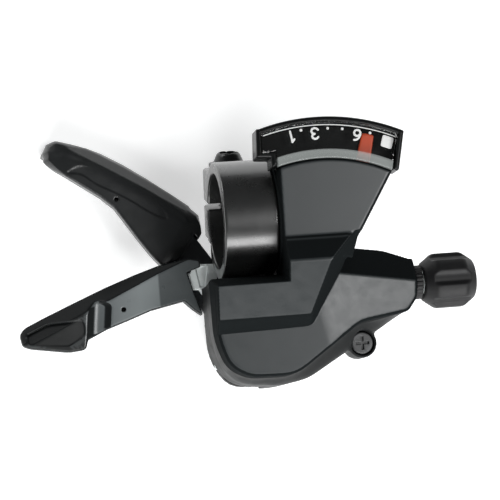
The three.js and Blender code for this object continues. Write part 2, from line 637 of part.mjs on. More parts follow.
function holdPawl() {
  const arm = prism(outline([
    [HOLD_NOSE.x - 0.4, HOLD_NOSE.y - 1.2], [HOLD_NOSE.x - 0.2, HOLD_NOSE.y + 0.8],
    [HOLD_FOLLOWER.x + 1.0, HOLD_FOLLOWER.y + 0.3], [HOLD_FOLLOWER.x - 1.1, HOLD_FOLLOWER.y],
    [HOLD_FOLLOWER.x - 0.4, HOLD_FOLLOWER.y - 2.2],
  ]), RATCHET_Z);
  const pin = post(HOLD_FOLLOWER.x, HOLD_FOLLOWER.y, 0.7, [RATCHET_Z[0], -12.8], 10);
  return pawl(HOLD_PIVOT, HOLD_NOSE, arm, pin);
}

// ---- release (index finger) lever ----
function releaseLeverPlate() {
  const plate = prism(outline([
    [-27, -15.2], [-27, -18.2], [-14, -14.6], [-9.7, -14.6], [-8, -17.2], [-7.3, -24], [-7.3, -34],
    [-1.9, -34], [-1.9, -26], [-0.8, -18.5], [-1.2, -15.6], [-5.2, -14.4], [-5.0, -8.6], [-11.2, -8.4],
    [-11.3, -10.3], [-12, -10.5],
  ]), RELEASE_PLATE_Z);
  const slot = box([-6.1, -2.9], [-32.6, -26.6], [-20, -10]);
  return cut(plate, slot, post(RELEASE_PIVOT.x, RELEASE_PIVOT.y, 1.6, [-20, -10], 12));
}

function releaseLeverCover() {
  const points = [
    [-52.9, -22.2, 0.8], [-52.4, -24.9, 0.6], [-50.6, -25.7, 0.8], [-41.5, -27.2, 1], [-37.6, -26.8, 0.8],
    [-37.0, -24.6, 0.6], [-32.2, -22.4], [-26.8, -20.6], [-21.4, -18.7], [-13.5, -17.1], [-11.4, -19.2],
    [-9.2, -20.9, 0.4], [-11.2, -14.6], [-12.2, -10.4], [-8.9, -9.2, 0.3], [-9.1, -7.6, 0.3],
    [-11.8, -7.0], [-18.8, -8.0], [-24.4, -9.7], [-32.0, -12.3],
    [-39.7, -15.3], [-47.4, -18.4], [-51.6, -20.4, 0.8],
  ];
  const pocket = [
    [-27.4, -14.8], [-27.4, -18.6], [-14, -15.0], [-4, -15.0], [-4, -8.1], [-11.5, -8.0], [-12, -9.9],
  ];
  return cut(
    prism(outline(points), RELEASE_COVER_Z),
    halfSpace([-24.6, -12.8, RELEASE_COVER_Z[1]], [-0.36, 0.84, 0.9]),
    prism(outline(pocket), [RELEASE_PLATE_Z[0] - FIT, RELEASE_PLATE_Z[1] + FIT]),
    post(-28.1, -18.1, 0.5, [-20, -10], 10),
  );
}

// ---- barrel adjuster ----
const ADJUSTER_X = { ring: [39.2, 40.9], knob: [41.2, 53.7], bolt: [26, 45], seat: 47 };

function adjusterKnob() {
  const lobes = 6;
  const radius = 6.55;
  const shape = new THREE.Shape();
  for (let i = 0; i < 48; i += 1) {
    const angle = (2 * Math.PI * i) / 48;
    const r = radius - 0.45 * (1 - Math.cos(lobes * angle)) / 2;
    if (i === 0) shape.moveTo(r * Math.cos(angle), r * Math.sin(angle));
    else shape.lineTo(r * Math.cos(angle), r * Math.sin(angle));
  }
  shape.closePath();
  const [start, end] = ADJUSTER_X.knob;
  const lobed = prismX(shape, [start, end]);
  const chamfered = turned(0, 0, [
    [0, start], [4.4, start], [radius, start + 3], [radius, end - 2.8], [4.5, end], [0, end],
  ], 32);
  const turn = new THREE.Matrix4().makeRotationY(Math.PI / 2);
  const envelope = solid(toGeometry(chamfered).applyMatrix4(turn));
  const body = cut(
    lobed.intersect(envelope),
    rodX(ADJUSTER_BORE, [start - 1, ADJUSTER_X.bolt[1] + FIT]),
    rodX(1.4, [start, end]),
    rodX(2.6, [ADJUSTER_X.seat, end + 1]),
  );
  return body.translate([0, CABLE_Y, CABLE_Z]);
}

const adjusterTube = (inner, outer, span) =>
  cut(rodX(outer, span), rodX(inner, [span[0] - 1, span[1] + 1])).translate([0, CABLE_Y, CABLE_Z]);

// ---- assembly ----
add('clamp_band', clampBand(), BAND_BLACK);
add('clamp_bolt', clampBolt(), BAND_BLACK);
add('clamp_nut', clampNut(), DARK_STEEL);
add('band_screw', screw(...BAND_SCREW, [-10.1, -6], [-6.1, -4.9], 2.3), DARK_STEEL);

add('base_housing', baseHousing(), BLACK_PLASTIC);
add('upper_cover', upperCover(), GREY_PLASTIC);
add('bottom_cover', bottomCover(), BLACK_PLASTIC);
add('base_plate', basePlate(), DARK_STEEL);
COVER_SCREWS.forEach(([x, y], i) => {
  add(`cover_screw_${i + 1}`, screw(x, y, [-11.1, 8.4], [-12.2, -11.1], 2.2), DARK_STEEL);
});
BASE_SCREWS.forEach(([x, y], i) => {
  add(`base_screw_${i + 1}`, screw(x, y, [-23.3, -12.4], [-24.4, -23.3], 2.2), DARK_STEEL);
});
add('cable_access_plug', screw(...PLUG, [-6.2, -2.4], [-2.5, -1.4], 2.6, 1.6), BLACK_PLASTIC);

add('main_axle', mainAxle(), STEEL);
add('axle_washer', tube(AXLE.x, AXLE.y, [AXLE_R + FIT, 4.2], [5.7, 6.4]), STEEL);
add('axle_nut', cut(post(AXLE.x, AXLE.y, 3.8, [6.7, 9.1], 6), post(AXLE.x, AXLE.y, 2.8, [0, 20])), STEEL);
add('cable_pulley', cablePulley(), BLACK_PLASTIC);
add('ratchet_wheel', ratchetWheel(), STEEL);
add('indicator_cam', indicatorCam(), WHITE_PLASTIC);
add('winder_spring', coil(AXLE, 5.5, [-8.3, -1.9], 4, 0.4), SPRING_STEEL);
add('lever_return_spring', coil(AXLE, 6.2, [-22.5, -21.4], 1.5, 0.4), SPRING_STEEL);

add('indicator_tray', indicatorTray(), BLACK_PLASTIC);
add('indicator_dial', prism(outline(WINDOW_OUTLINE), [TRAY_Z[1] + FIT, DIAL_TOP_Z]), BLACK_PLASTIC);
add('indicator_lens', prism(outline(WINDOW_OUTLINE), LENS_Z), LENS);
add('indicator_needle', indicatorNeedle(), RED);
add('needle_pivot_pin', post(NEEDLE_PIVOT.x, NEEDLE_PIVOT.y, 0.8, [6.6, 9.9], 12), STEEL);

add('main_lever_plate', mainLeverPlate(), DARK_STEEL);
add('main_lever_cover', mainLeverCover(), LEVER_PLASTIC);
add('feed_pawl_pin', post(FEED_PIVOT.x, FEED_PIVOT.y, 1.0, [MAIN_PLATE_Z[0], RATCHET_Z[1]], 12), STEEL);
add('feed_pawl', pawl(FEED_PIVOT, FEED_NOSE), STEEL);

add('release_lever_plate', releaseLeverPlate(), STEEL);
add('release_lever_cover', releaseLeverCover(), LEVER_GREY);
add('release_pivot_pin', turned(RELEASE_PIVOT.x, RELEASE_PIVOT.y, [
  [0, -14.8], [2.4, -14.8], [2.4, -14.3], [1.3, -14.3], [1.3, -10], [0, -10],
], 16), STEEL);
add('release_spring', coil(RELEASE_PIVOT, 2.6, [-11.9, -11.3], 1, 0.25), SPRING_STEEL);
add('hold_pawl_pin', turned(HOLD_PIVOT.x, HOLD_PIVOT.y, [
  [0, -16.6], [1.0, -16.6], [1.0, -14.8], [1.3, -14.8], [1.3, -10], [0, -10],
], 12), STEEL);
add('hold_pawl', holdPawl(), STEEL);

add('adjuster_bolt', adjusterTube(1.1, 2.9, ADJUSTER_X.bolt), STEEL);
add('adjuster_knob', adjusterKnob(), KNOB_PLASTIC);
add('adjuster_detent_ring', adjusterTube(ADJUSTER_BORE, 4.0, ADJUSTER_X.ring), BLACK_PLASTIC);

export default shifter;
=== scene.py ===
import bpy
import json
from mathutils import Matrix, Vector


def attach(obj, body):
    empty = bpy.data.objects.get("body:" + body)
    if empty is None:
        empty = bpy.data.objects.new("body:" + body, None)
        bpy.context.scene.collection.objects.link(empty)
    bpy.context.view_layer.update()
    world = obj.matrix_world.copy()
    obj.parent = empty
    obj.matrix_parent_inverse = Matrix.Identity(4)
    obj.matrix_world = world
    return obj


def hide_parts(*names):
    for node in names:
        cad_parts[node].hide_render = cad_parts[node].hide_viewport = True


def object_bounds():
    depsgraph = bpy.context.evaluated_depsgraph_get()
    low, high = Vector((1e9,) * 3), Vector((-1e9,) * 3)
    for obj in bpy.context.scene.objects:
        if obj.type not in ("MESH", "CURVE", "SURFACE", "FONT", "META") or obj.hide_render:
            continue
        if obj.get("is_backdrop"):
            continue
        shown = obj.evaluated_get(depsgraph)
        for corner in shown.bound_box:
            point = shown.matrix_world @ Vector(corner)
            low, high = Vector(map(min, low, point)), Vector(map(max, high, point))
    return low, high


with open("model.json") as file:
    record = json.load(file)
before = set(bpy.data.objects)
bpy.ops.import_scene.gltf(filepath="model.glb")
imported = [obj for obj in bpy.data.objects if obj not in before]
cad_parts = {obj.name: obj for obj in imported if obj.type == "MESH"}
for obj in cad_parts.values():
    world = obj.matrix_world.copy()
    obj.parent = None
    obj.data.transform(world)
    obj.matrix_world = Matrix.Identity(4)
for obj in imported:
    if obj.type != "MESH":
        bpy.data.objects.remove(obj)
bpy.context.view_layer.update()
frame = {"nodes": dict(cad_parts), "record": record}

# Looks of the thumb shifter. Shapes are written in millimetres as signed distance
# fields (negative inside) and meshed with surface nets; Blender works in metres.
import json
import math

import bmesh
import bpy
import numpy as np
from mathutils import Matrix, Vector

MM = 0.001

# ---- the part's dimensions, as in its CAD source ----
FIT, WALL = 0.3, 1.6
BAR_R, BAND_R, BAND_HALF = 11.1, 13.8, 6.25
BOLT_TILT, BOLT_OFFSET = math.radians(17), 16.0
AXLE, AXLE_R = (6.0, -25.8), 2.5
CABLE_Y, CABLE_Z = -17.8, 1.5
RATCHET_Z = (-16.6, -15.1)
SEAM_Z, FLOOR_Z, SKIRT_Z = 4.7, (-10.8, -9.2), -18.7
BASE_PLATE_Z, BOTTOM_Z = (-20.5, -19.0), (-24.5, -20.8)
MAIN_PLATE_Z, MAIN_WEB_Z, MAIN_PAD_Z = (-18.6, -17.0), (-19.8, -15.9), -26.0
RELEASE_PLATE_Z, RELEASE_COVER_Z = (-14.0, -12.5), (-15.6, -11.6)
RELEASE_PIVOT, HOLD_PIVOT, HOLD_FOLLOWER = (-4.2, -18.0), (1.0, -36.5), (-4.5, -29.0)
NEEDLE_PIVOT, REST_ANGLE = (16.5, -26.5), 16.0
FAN_R, FROSTED_R, DISPLAY_R = 37.2, 39.15, 46.8
NEEDLE_Z, TRAY_Z, DISPLAY_TOP_Z = (13.2, 13.8), (11.45, 12.0), 18.2
COVER_SCREWS = [(21.4, -24.6), (-7.0, -23.5), (-3.6, -34.4)]
BASE_SCREWS = [(20.5, -17.2), (15.6, -33.6)]
PLUG = (26.4, -30.9)

COVER_OUTLINE = [
    (-9.8, -14.2, 0.6), (-9.8, -28, 4), (-7.5, -34.5, 3.2), (-3, -37.3, 3), (7.8, -37.6, 3.2),
    (17.3, -31.1, 0), (23.9, -26.7, 1.8), (35.8, -24.9, 1), (38.2, -21.8, 0.8), (39, -12.4, 0.6),
    (31, -9.6, 1), (25, -6.8, 0.5), (6.7, -6.8, 0), (6.7, -14.2, 0),
]
HOUSING_TOP = COVER_OUTLINE[:10] + [(30, -11.8, 0), (22, -11.8, 0), (6.7, -11.8, 0), (6.7, -14.2, 0)]
HOUSING_LOW = [
    (-9.8, -14.2, 0.6), (-9.8, -28.4, 4), (-7.5, -35, 3.4), (-3, -38.4, 3), (6, -39.4, 3),
    (12.7, -38.2, 2), (29.5, -28.7, 2), (36.9, -24.3, 1), (38.7, -21.6, 0.8), (39, -12.4, 0.6),
    (22, -11.8, 0), (6.7, -11.8, 0), (6.7, -14.2, 0),
]
PANEL_OUTLINE = [
    (-9.8, -14.2, 0.6), (-9.8, -27.2, 0), (11.9, -26.6, 1.5), (20.6, -13.2, 0), (23.4, -6.8, 0),
    (6.7, -6.8, 0), (6.7, -14.2, 0),
]
MAIN_UPPER = [
    (-44.3, 21.4), (-43.0, 23.6), (-40.6, 24.3), (-33.1, 22.7), (-29.6, 21.2), (-24.3, 18.1),
    (-19.0, 14.4), (-13.8, 10.4), (-9.4, 6.6), (-7.2, 4.2),
]
MAIN_RIDGE = [
    (-42.5, 20.0), (-39.4, 20.6), (-34.7, 18.9), (-30.1, 16.6), (-25.1, 13.6), (-19.9, 10.4),
    (-15.4, 6.8), (-10.6, 2.4),
]
MAIN_LOWER = [
    (-20.1, -5.0), (-22.8, -1.1), (-26.0, 3.9), (-28.0, 6.9), (-31.1, 9.7), (-36.3, 13.4),
    (-41.6, 17.1),
]
RELEASE_OUTLINE = [
    (-52.9, -22.2, 0.8), (-52.4, -24.9, 0.6), (-50.6, -25.7, 0.8), (-41.5, -27.2, 1),
    (-37.6, -26.8, 0.8), (-37.0, -24.6, 0.6), (-32.2, -22.4, 0), (-26.8, -20.6, 0), (-21.4, -18.7, 0),
    (-13.5, -17.1, 0), (-11.4, -19.2, 0), (-9.2, -20.9, 0.4), (-11.2, -14.6, 0), (-12.2, -10.4, 0),
    (-8.9, -9.2, 0.3), (-9.1, -7.6, 0.3), (-11.8, -7.0, 0),
    (-18.8, -8.0, 0), (-24.4, -9.7, 0), (-32.0, -12.3, 0), (-39.7, -15.3, 0), (-47.4, -18.4, 0),
    (-51.6, -20.4, 0.8),
]
FAN_SLOPE = ((-6.4, 15.6), (13.5, 18.0))
RAMP_SLOPE = ((-12.4, 18.6), (-6.4, 15.6))
PANEL_SLOPE = ((-24.6, 15.0), (-12.4, 18.6))
STEP_SLOPE = ((-27.2, 11.9), (-24.6, 15.0))
LOWER_SLOPE = ((-37.5, 10.5), (-27.2, 11.9))
NOTCH_SLOPE = ((-16.7, 17.4), (-14.2, 7.5))


# ---- signed distances ----
def both(a, b, r=0.0):
    """What two shapes share; their common edge is rounded with radius r."""
    if not r:
        return np.maximum(a, b)
    return np.minimum(-r, np.maximum(a, b)) + np.hypot(np.maximum(r + a, 0), np.maximum(r + b, 0))


def either(a, b, r=0.0):
    """Two shapes joined, with a fillet of radius r."""
    return -both(-a, -b, r)


def minus(a, b, r=0.0):
    return both(a, -b, r)


def rounded(points, steps=5):
    """The corners of a closed outline of (x, y, radius) points, as a fine polygon."""
    result = []
    count = len(points)
    for i, (x, y, *rest) in enumerate(points):
        radius = rest[0] if rest else 0
        corner = np.array((x, y), float)
        before = np.array(points[i - 1][:2], float)
        after = np.array(points[(i + 1) % count][:2], float)
        back, onward = before - corner, after - corner
        near = min(radius, 0.45 * np.hypot(*back), 0.45 * np.hypot(*onward))
        if near <= 0:
            result.append(corner)
            continue
        start = corner + back / np.hypot(*back) * near
        end = corner + onward / np.hypot(*onward) * near
        for t in np.linspace(0, 1, steps):
            result.append((1 - t) ** 2 * start + 2 * t * (1 - t) * corner + t * t * end)
    return result


def poly(points, x, y):
    """Distance to a closed outline of (x, y) or (x, y, radius) points."""
    points = rounded(points)
    best, inside = np.float32(1e9), False
    for (ax, ay), (bx, by) in zip(points, points[1:] + points[:1]):
        ex, ey = bx - ax, by - ay
        length = ex * ex + ey * ey
        if length < 1e-9:
            continue
        wx, wy = x - ax, y - ay
        t = np.clip((wx * ex + wy * ey) / length, 0, 1)
        best = np.minimum(best, (wx - ex * t) ** 2 + (wy - ey * t) ** 2)
        if ay != by:
            crosses = ((ay > y) != (by > y)) & (x < (bx - ax) * (y - ay) / (by - ay) + ax)
            inside = inside ^ crosses
    return np.where(inside, -1, 1) * np.sqrt(best)


def slab(value, low, high):
    return np.abs(value - (low + high) / 2) - (high - low) / 2


def prism(points, span, x, y, z, r=0.0):
    return both(poly(points, x, y), slab(z, *span), r)


def post(center, radius, span, x, y, z, r=0.0):
    return both(np.hypot(x - center[0], y - center[1]) - radius, slab(z, *span), r)


def box(xs, ys, zs, x, y, z, r=0.0):
    return both(both(slab(x, *xs), slab(y, *ys), r), slab(z, *zs), r)


def plane(point, normal, x, y, z):
    """Distance above a plane: positive on the side that its normal points to."""
    n = np.array(normal, float) / np.linalg.norm(normal)
    return (x - point[0]) * n[0] + (y - point[1]) * n[1] + (z - point[2]) * n[2]


def slope(line, y, z, drop=0.0):
    """Distance above a slope through two (y, z) points, level along X."""
    (y0, z0), (y1, z1) = line
    length = math.hypot(y1 - y0, z1 - z0)
    return ((y - y0) * (z0 - z1) + (z - z0) * (y1 - y0)) / length + drop


def smooth(value, low, high):
    t = np.clip((value - low) / (high - low), 0, 1)
    return t * t * (3 - 2 * t)


def polar(center, radius, degrees):
    angle = math.radians(degrees)
    return center[0] + radius * math.cos(angle), center[1] + radius * math.sin(angle)


def dial_point(radius, clockwise):
    return polar(NEEDLE_PIVOT, radius, 90 - clockwise)


def dial_arc(radius, x0, x1, count=24):
    xs = [x0 + (x1 - x0) * i / count for i in range(count + 1)]
    return [(x, NEEDLE_PIVOT[1] + math.sqrt(radius ** 2 - (x - NEEDLE_PIVOT[0]) ** 2)) for x in xs]


# ---- meshing ----
COARSE = 1.0
TURNED_SIDES = 96


def settle(field, vertices, step):
    """Vertices moved along the field's gradient towards its zero surface."""
    h = 0.02
    here = field(*vertices.T)
    slopes = []
    for k in range(3):
        ahead = vertices.copy()
        ahead[:, k] += h
        behind = vertices.copy()
        behind[:, k] -= h
        slopes.append((field(*ahead.T) - field(*behind.T)) / (2 * h))
    gradient = np.stack(slopes, 1)
    size = np.maximum((gradient ** 2).sum(1), 0.25)
    move = np.clip(here / size, -0.3 * step, 0.3 * step)
    return vertices - gradient * move[:, None]


def surface_nets(field, low, high, step):
    """Vertices in mm and quads of a field's zero surface inside a box."""
    axes = [np.arange(a, b + step, step) for a, b in zip(low, high)]
    x, y, z = axes[0][:, None, None], axes[1][None, :, None], axes[2][None, None, :]
    f = np.ascontiguousarray(np.broadcast_to(field(x, y, z), [len(a) for a in axes]), np.float32)
    cells = np.array(f.shape) - 1
    total = np.zeros((3, cells.prod()))
    count = np.zeros(cells.prod())
    quads = []
    for axis in range(3):
        u, v = (axis + 1) % 3, (axis + 2) % 3
        first = [slice(None)] * 3
        second = [slice(None)] * 3
        first[axis], second[axis] = slice(0, -1), slice(1, None)
        a, b = f[tuple(first)], f[tuple(second)]
        crossing = (a < 0) != (b < 0)
        index = np.argwhere(crossing)
        keep = (index[:, u] > 0) & (index[:, v] > 0) & (index[:, u] < cells[u]) & (index[:, v] < cells[v])
        a, b, index = a[crossing][keep], b[crossing][keep], index[keep]
        point = index.astype(float)
        point[:, axis] += a / (a - b)
        ring = []
        for du, dv in ((-1, -1), (0, -1), (0, 0), (-1, 0)):
            cell = index.copy()
            cell[:, u] += du
            cell[:, v] += dv
            flat = np.ravel_multi_index(cell.T, cells)
            count += np.bincount(flat, minlength=count.size)
            for k in range(3):
                total[k] += np.bincount(flat, point[:, k], count.size)
            ring.append(flat)
        quad = np.stack(ring, 1)
        quad[a >= 0] = quad[a >= 0][:, ::-1]
        quads.append(quad)
    quads = np.concatenate(quads)
    used = np.flatnonzero(count)
    place = np.zeros(count.size, np.int64)
    place[used] = np.arange(len(used))
    vertices = (total[:, used] / count[used]).T * step + np.array(low)
    vertices = settle(field, vertices, step)
    return vertices, place[quads]


def mesh_object(name, vertices, faces, mat):
    """A smooth-shaded object; vertices in mm, faces as rows of equal length."""
    mesh = bpy.data.meshes.new(name)
    mesh.from_pydata((np.asarray(vertices) * MM).tolist(), [], np.asarray(faces).tolist())
    mesh.update()
    mesh.polygons.foreach_set("use_smooth", [True] * len(mesh.polygons))
    mesh.materials.append(mat)
    piece = bpy.data.objects.new(name, mesh)
    bpy.context.scene.collection.objects.link(piece)
    return piece


def replace_node(piece, node, body):
    """Let a piece ride on its body in place of a CAD node."""
    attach(piece, body)
    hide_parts(node)


def model(name, field, low, high, step, body, slot):
    """A node's fine shape, meshed from its field inside a box; a slot's material has its name."""
    vertices, quads = surface_nets(field, low, high, step * COARSE)
    replace_node(mesh_object(name, vertices, quads, M[slot]), name, body)


def turned(name, profile, body, slot, center=(0, 0), axis="z"):
    """A closed (radius, height) profile turned about an upright line, or about the cable's line."""
    profile = np.array(profile, float)
    angles = np.arange(TURNED_SIDES) * 2 * math.pi / TURNED_SIDES
    r, h = profile[:, 0][:, None], profile[:, 1][:, None]
    across, up = r * np.cos(angles), r * np.sin(angles)
    along = np.broadcast_to(h, across.shape)
    if axis == "z":
        vertices = np.stack([center[0] + across, center[1] + up, along], -1).reshape(-1, 3)
    else:
        vertices = np.stack([along, CABLE_Y + across, CABLE_Z + up], -1).reshape(-1, 3)
    faces = []
    for i in range(len(profile)):
        j = (i + 1) % len(profile)
        if profile[i, 0] == 0 and profile[j, 0] == 0:
            continue
        row, following = i * TURNED_SIDES, j * TURNED_SIDES
        for k in range(TURNED_SIDES):
            m = (k + 1) % TURNED_SIDES
            faces.append((row + k, row + m, following + m, following + k))
    piece = mesh_object(name, vertices, faces, M[slot])
    mesh = piece.data
    bm = bmesh.new()
    bm.from_mesh(mesh)
    bmesh.ops.remove_doubles(bm, verts=bm.verts, dist=1e-7)
    bmesh.ops.recalc_face_normals(bm, faces=bm.faces)
    bm.to_mesh(mesh)
    bm.free()
    mesh.polygons.foreach_set("use_smooth", [True] * len(mesh.polygons))
    mesh.set_sharp_from_angle(angle=math.radians(32))
    replace_node(piece, name, body)


# ---- materials ----
SHADE_START, SHADE_END = 0.952, 0.905


def material(name, color, roughness, metallic=0.0, grain=0.0, grain_size=0.35, mottle=0.12,
             coat=0.0, brushed=None, scratches=0.0, edge=0.0, specular=0.5, shade=0.0, zones=(), ior=1.5):
    """A shaded surface with fine moulding grain, soft tone changes, faint scuffs, and lighter edges that are
    partly rubbed wear and partly a painted edge highlight.

    shade paints shade on faces that lean away from +Z: it darkens and dulls them from SHADE_START to
    SHADE_END of their normal's Z. A zone is (colour, axis, from, to): another colour that takes over along an
    axis, in mm.
    """
    mat = bpy.data.materials.new(name)
    mat.use_nodes = True
    nodes, links = mat.node_tree.nodes, mat.node_tree.links
    shader = nodes["Principled BSDF"]
    coords = nodes.new("ShaderNodeTexCoord")
    scale = nodes.new("ShaderNodeMapping")
    scale.inputs["Scale"].default_value = [1000 * s for s in (brushed or (1, 1, 1))]
    links.new(coords.outputs["Object"], scale.inputs["Vector"])

    def noise(size, detail=3.0, source=None):
        node = nodes.new("ShaderNodeTexNoise")
        node.inputs["Scale"].default_value = 1 / size
        node.inputs["Detail"].default_value = detail
        links.new((source or scale).outputs["Vector"], node.inputs["Vector"])
        return node.outputs["Fac"]

    def remap(value, start, end, low=0.0, high=1.0):
        """A node that takes a value's range from start to end over to low to high."""
        node = nodes.new("ShaderNodeMapRange")
        for socket, number in (("From Min", start), ("From Max", end), ("To Min", low), ("To Max", high)):
            node.inputs[socket].default_value = number
        links.new(value, node.inputs["Value"])
        return node

    def spread(value, low, high):
        return remap(value, 0.25, 0.75, low, high).outputs["Result"]

    plain = nodes.new("ShaderNodeMapping")
    plain.inputs["Scale"].default_value = (1000, 1000, 1000)
    links.new(coords.outputs["Object"], plain.inputs["Vector"])
    tone = nodes.new("ShaderNodeMix")
    tone.data_type = "RGBA"
    tone.blend_type = "MULTIPLY"
    tone.inputs["Factor"].default_value = 1
    tone.inputs["A"].default_value = (*color, 1)
    links.new(spread(noise(9, 4, plain), 1 - mottle, 1 + mottle), tone.inputs["B"])
    result = tone.outputs["Result"]

    def blend(value, start, end, colour, source, most=1.0):
        """The source's colour, with another that takes over as the value goes from start to end."""
        mix = nodes.new("ShaderNodeMix")
        mix.data_type = "RGBA"
        mix.inputs["B"].default_value = (*colour, 1)
        links.new(remap(value, start, end, 0, most).outputs["Result"], mix.inputs["Factor"])
        links.new(source, mix.inputs["A"])
        return mix.outputs["Result"]

    def part_of(vector, axis):
        split = nodes.new("ShaderNodeSeparateXYZ")
        links.new(vector, split.inputs["Vector"])
        return split.outputs[axis]

    for colour, axis, start, end in zones:
        result = blend(part_of(plain.outputs["Vector"], axis), start, end, colour, result)
    if shade:
        # painted shade: faces that lean away from +Z turn darker
        dark = [c * (1 - shade) for c in color]
        result = blend(part_of(coords.outputs["Normal"], "Z"), SHADE_START, SHADE_END, dark, result)
    if edge:
        # lighter edges by pointiness: partly rubbed wear, partly a painted edge highlight
        shape = nodes.new("ShaderNodeNewGeometry")
        rubbed_and_highlit = [min(1, 3.2 * c + 0.02) for c in color]
        result = blend(shape.outputs["Pointiness"], 0.52, 0.62, rubbed_and_highlit, result, edge)
    links.new(result, shader.inputs["Base Color"])
    levels = {"Metallic": metallic, "Specular IOR Level": specular, "IOR": ior, "Coat Weight": coat,
              "Coat Roughness": 0.2}
    for socket, level in levels.items():
        shader.inputs[socket].default_value = level
    rough = spread(noise(0.7 if brushed else 2.5, 5), roughness * 0.88, roughness * 1.14)
    links.new(rough, shader.inputs["Roughness"])
    if shade:
        upward = part_of(coords.outputs["Normal"], "Z")
        for socket, dull in (("Specular IOR Level", 0.1), ("IOR", 1.12), ("Roughness", 0.7)):
            gloss = remap(upward, SHADE_END, SHADE_START, dull, levels.get(socket, roughness))
            if socket == "Roughness":
                links.new(rough, gloss.inputs["To Max"])
            links.new(gloss.outputs["Result"], shader.inputs[socket])
    bump = nodes.new("ShaderNodeBump")
    bump.inputs["Strength"].default_value = 1
    bump.inputs["Distance"].default_value = grain * MM
    links.new(noise(grain_size, 2), bump.inputs["Height"])
    links.new(bump.outputs["Normal"], shader.inputs["Normal"])
    if scratches:
        lines = nodes.new("ShaderNodeTexWave")
        lines.inputs["Scale"].default_value = 1.7
        lines.inputs["Distortion"].default_value = 9
        lines.inputs["Detail"].default_value = 4
        links.new(plain.outputs["Vector"], lines.inputs["Vector"])
        fine = nodes.new("ShaderNodeBump")
        fine.inputs["Distance"].default_value = scratches * MM
        fine.inputs["Strength"].default_value = 0.6
        links.new(lines.outputs["Fac"], fine.inputs["Height"])
        links.new(fine.outputs["Normal"], bump.inputs["Normal"])
    return mat


M = {
    "band_black": material("band_black", (0.012, 0.0124, 0.0121), 0.29, grain=0.0004,
                           edge=0.05, coat=0.6, specular=0.75),
    "bolt_black": material("bolt_black", (0.01, 0.0105, 0.011), 0.28, metallic=0.2, grain=0.004, edge=0.15),
    "dark_steel": material("dark_steel", (0.16, 0.165, 0.17), 0.38, metallic=0.9, grain=0.006, edge=0.5),
    "housing_black": material("housing_black", (0.011, 0.0118, 0.012), 0.45, grain=0.01, edge=0.1,
                              specular=0.3, ior=1.2),
    # cover_grey and lever_grey carry painted shade on faces that lean away from +Z
    "cover_grey": material("cover_grey", (0.0203, 0.0242, 0.0254), 0.34, grain=0.006, grain_size=0.2,
                           mottle=0.06, edge=0.1, shade=0.6),
    "plug_black": material("plug_black", (0.035, 0.036, 0.037), 0.36, grain=0.01, edge=0.3),
    "zinc_steel": material("zinc_steel", (0.84, 0.89, 0.88), 0.34, metallic=0.1, grain=0.01,
                           brushed=(0.25, 2.2, 2.2)),
    "spring_steel": material("spring_steel", (0.34, 0.35, 0.36), 0.3, metallic=1.0, grain=0.004),
    "display_black": material("display_black", (0.005, 0.0055, 0.0055), 0.24, grain=0.002, mottle=0.1,
                              specular=0.4, ior=1.3),
    "pulley_black": material("pulley_black", (0.03, 0.03, 0.03), 0.4, grain=0.01),
    "cam_white": material("cam_white", (0.7, 0.72, 0.68), 0.4, grain=0.01),
    "needle_red": material("needle_red", (0.78, 0.09, 0.025), 0.42, grain=0.004),
    "lever_steel": material("lever_steel", (0.05, 0.052, 0.055), 0.34, metallic=0.7, grain=0.008, edge=0.4),
    "lever_black": material("lever_black", (0.0105, 0.0115, 0.012), 0.34, grain=0.008, grain_size=0.5,
                            scratches=0.001, coat=0.15, edge=0.08),
    "lever_grey": material("lever_grey", (0.072, 0.081, 0.083), 0.3, grain=0.005, coat=0.2,
                           edge=0.1, shade=0.85,
                           # painted light: the release arm turns lighter beyond the bend at X -19.3 and fades
                           # back to the base colour towards X -35; past X -37.9 the paddle end turns near
                           # black
                           zones=[((0.165, 0.184, 0.187), "X", -19.1, -19.5),
                                  ((0.07, 0.078, 0.08), "X", -24.0, -35.0),
                                  ((0.013, 0.0138, 0.0138), "X", -36.6, -37.9)]),
    "knob_black": material("knob_black", (0.006, 0.006, 0.0065), 0.52, grain=0.014, grain_size=0.3, edge=0.05,
                           specular=0.3),
    "mark_white": material("mark_white", (1.0, 1.0, 1.0), 0.5, grain=0.004, mottle=0.02),
}


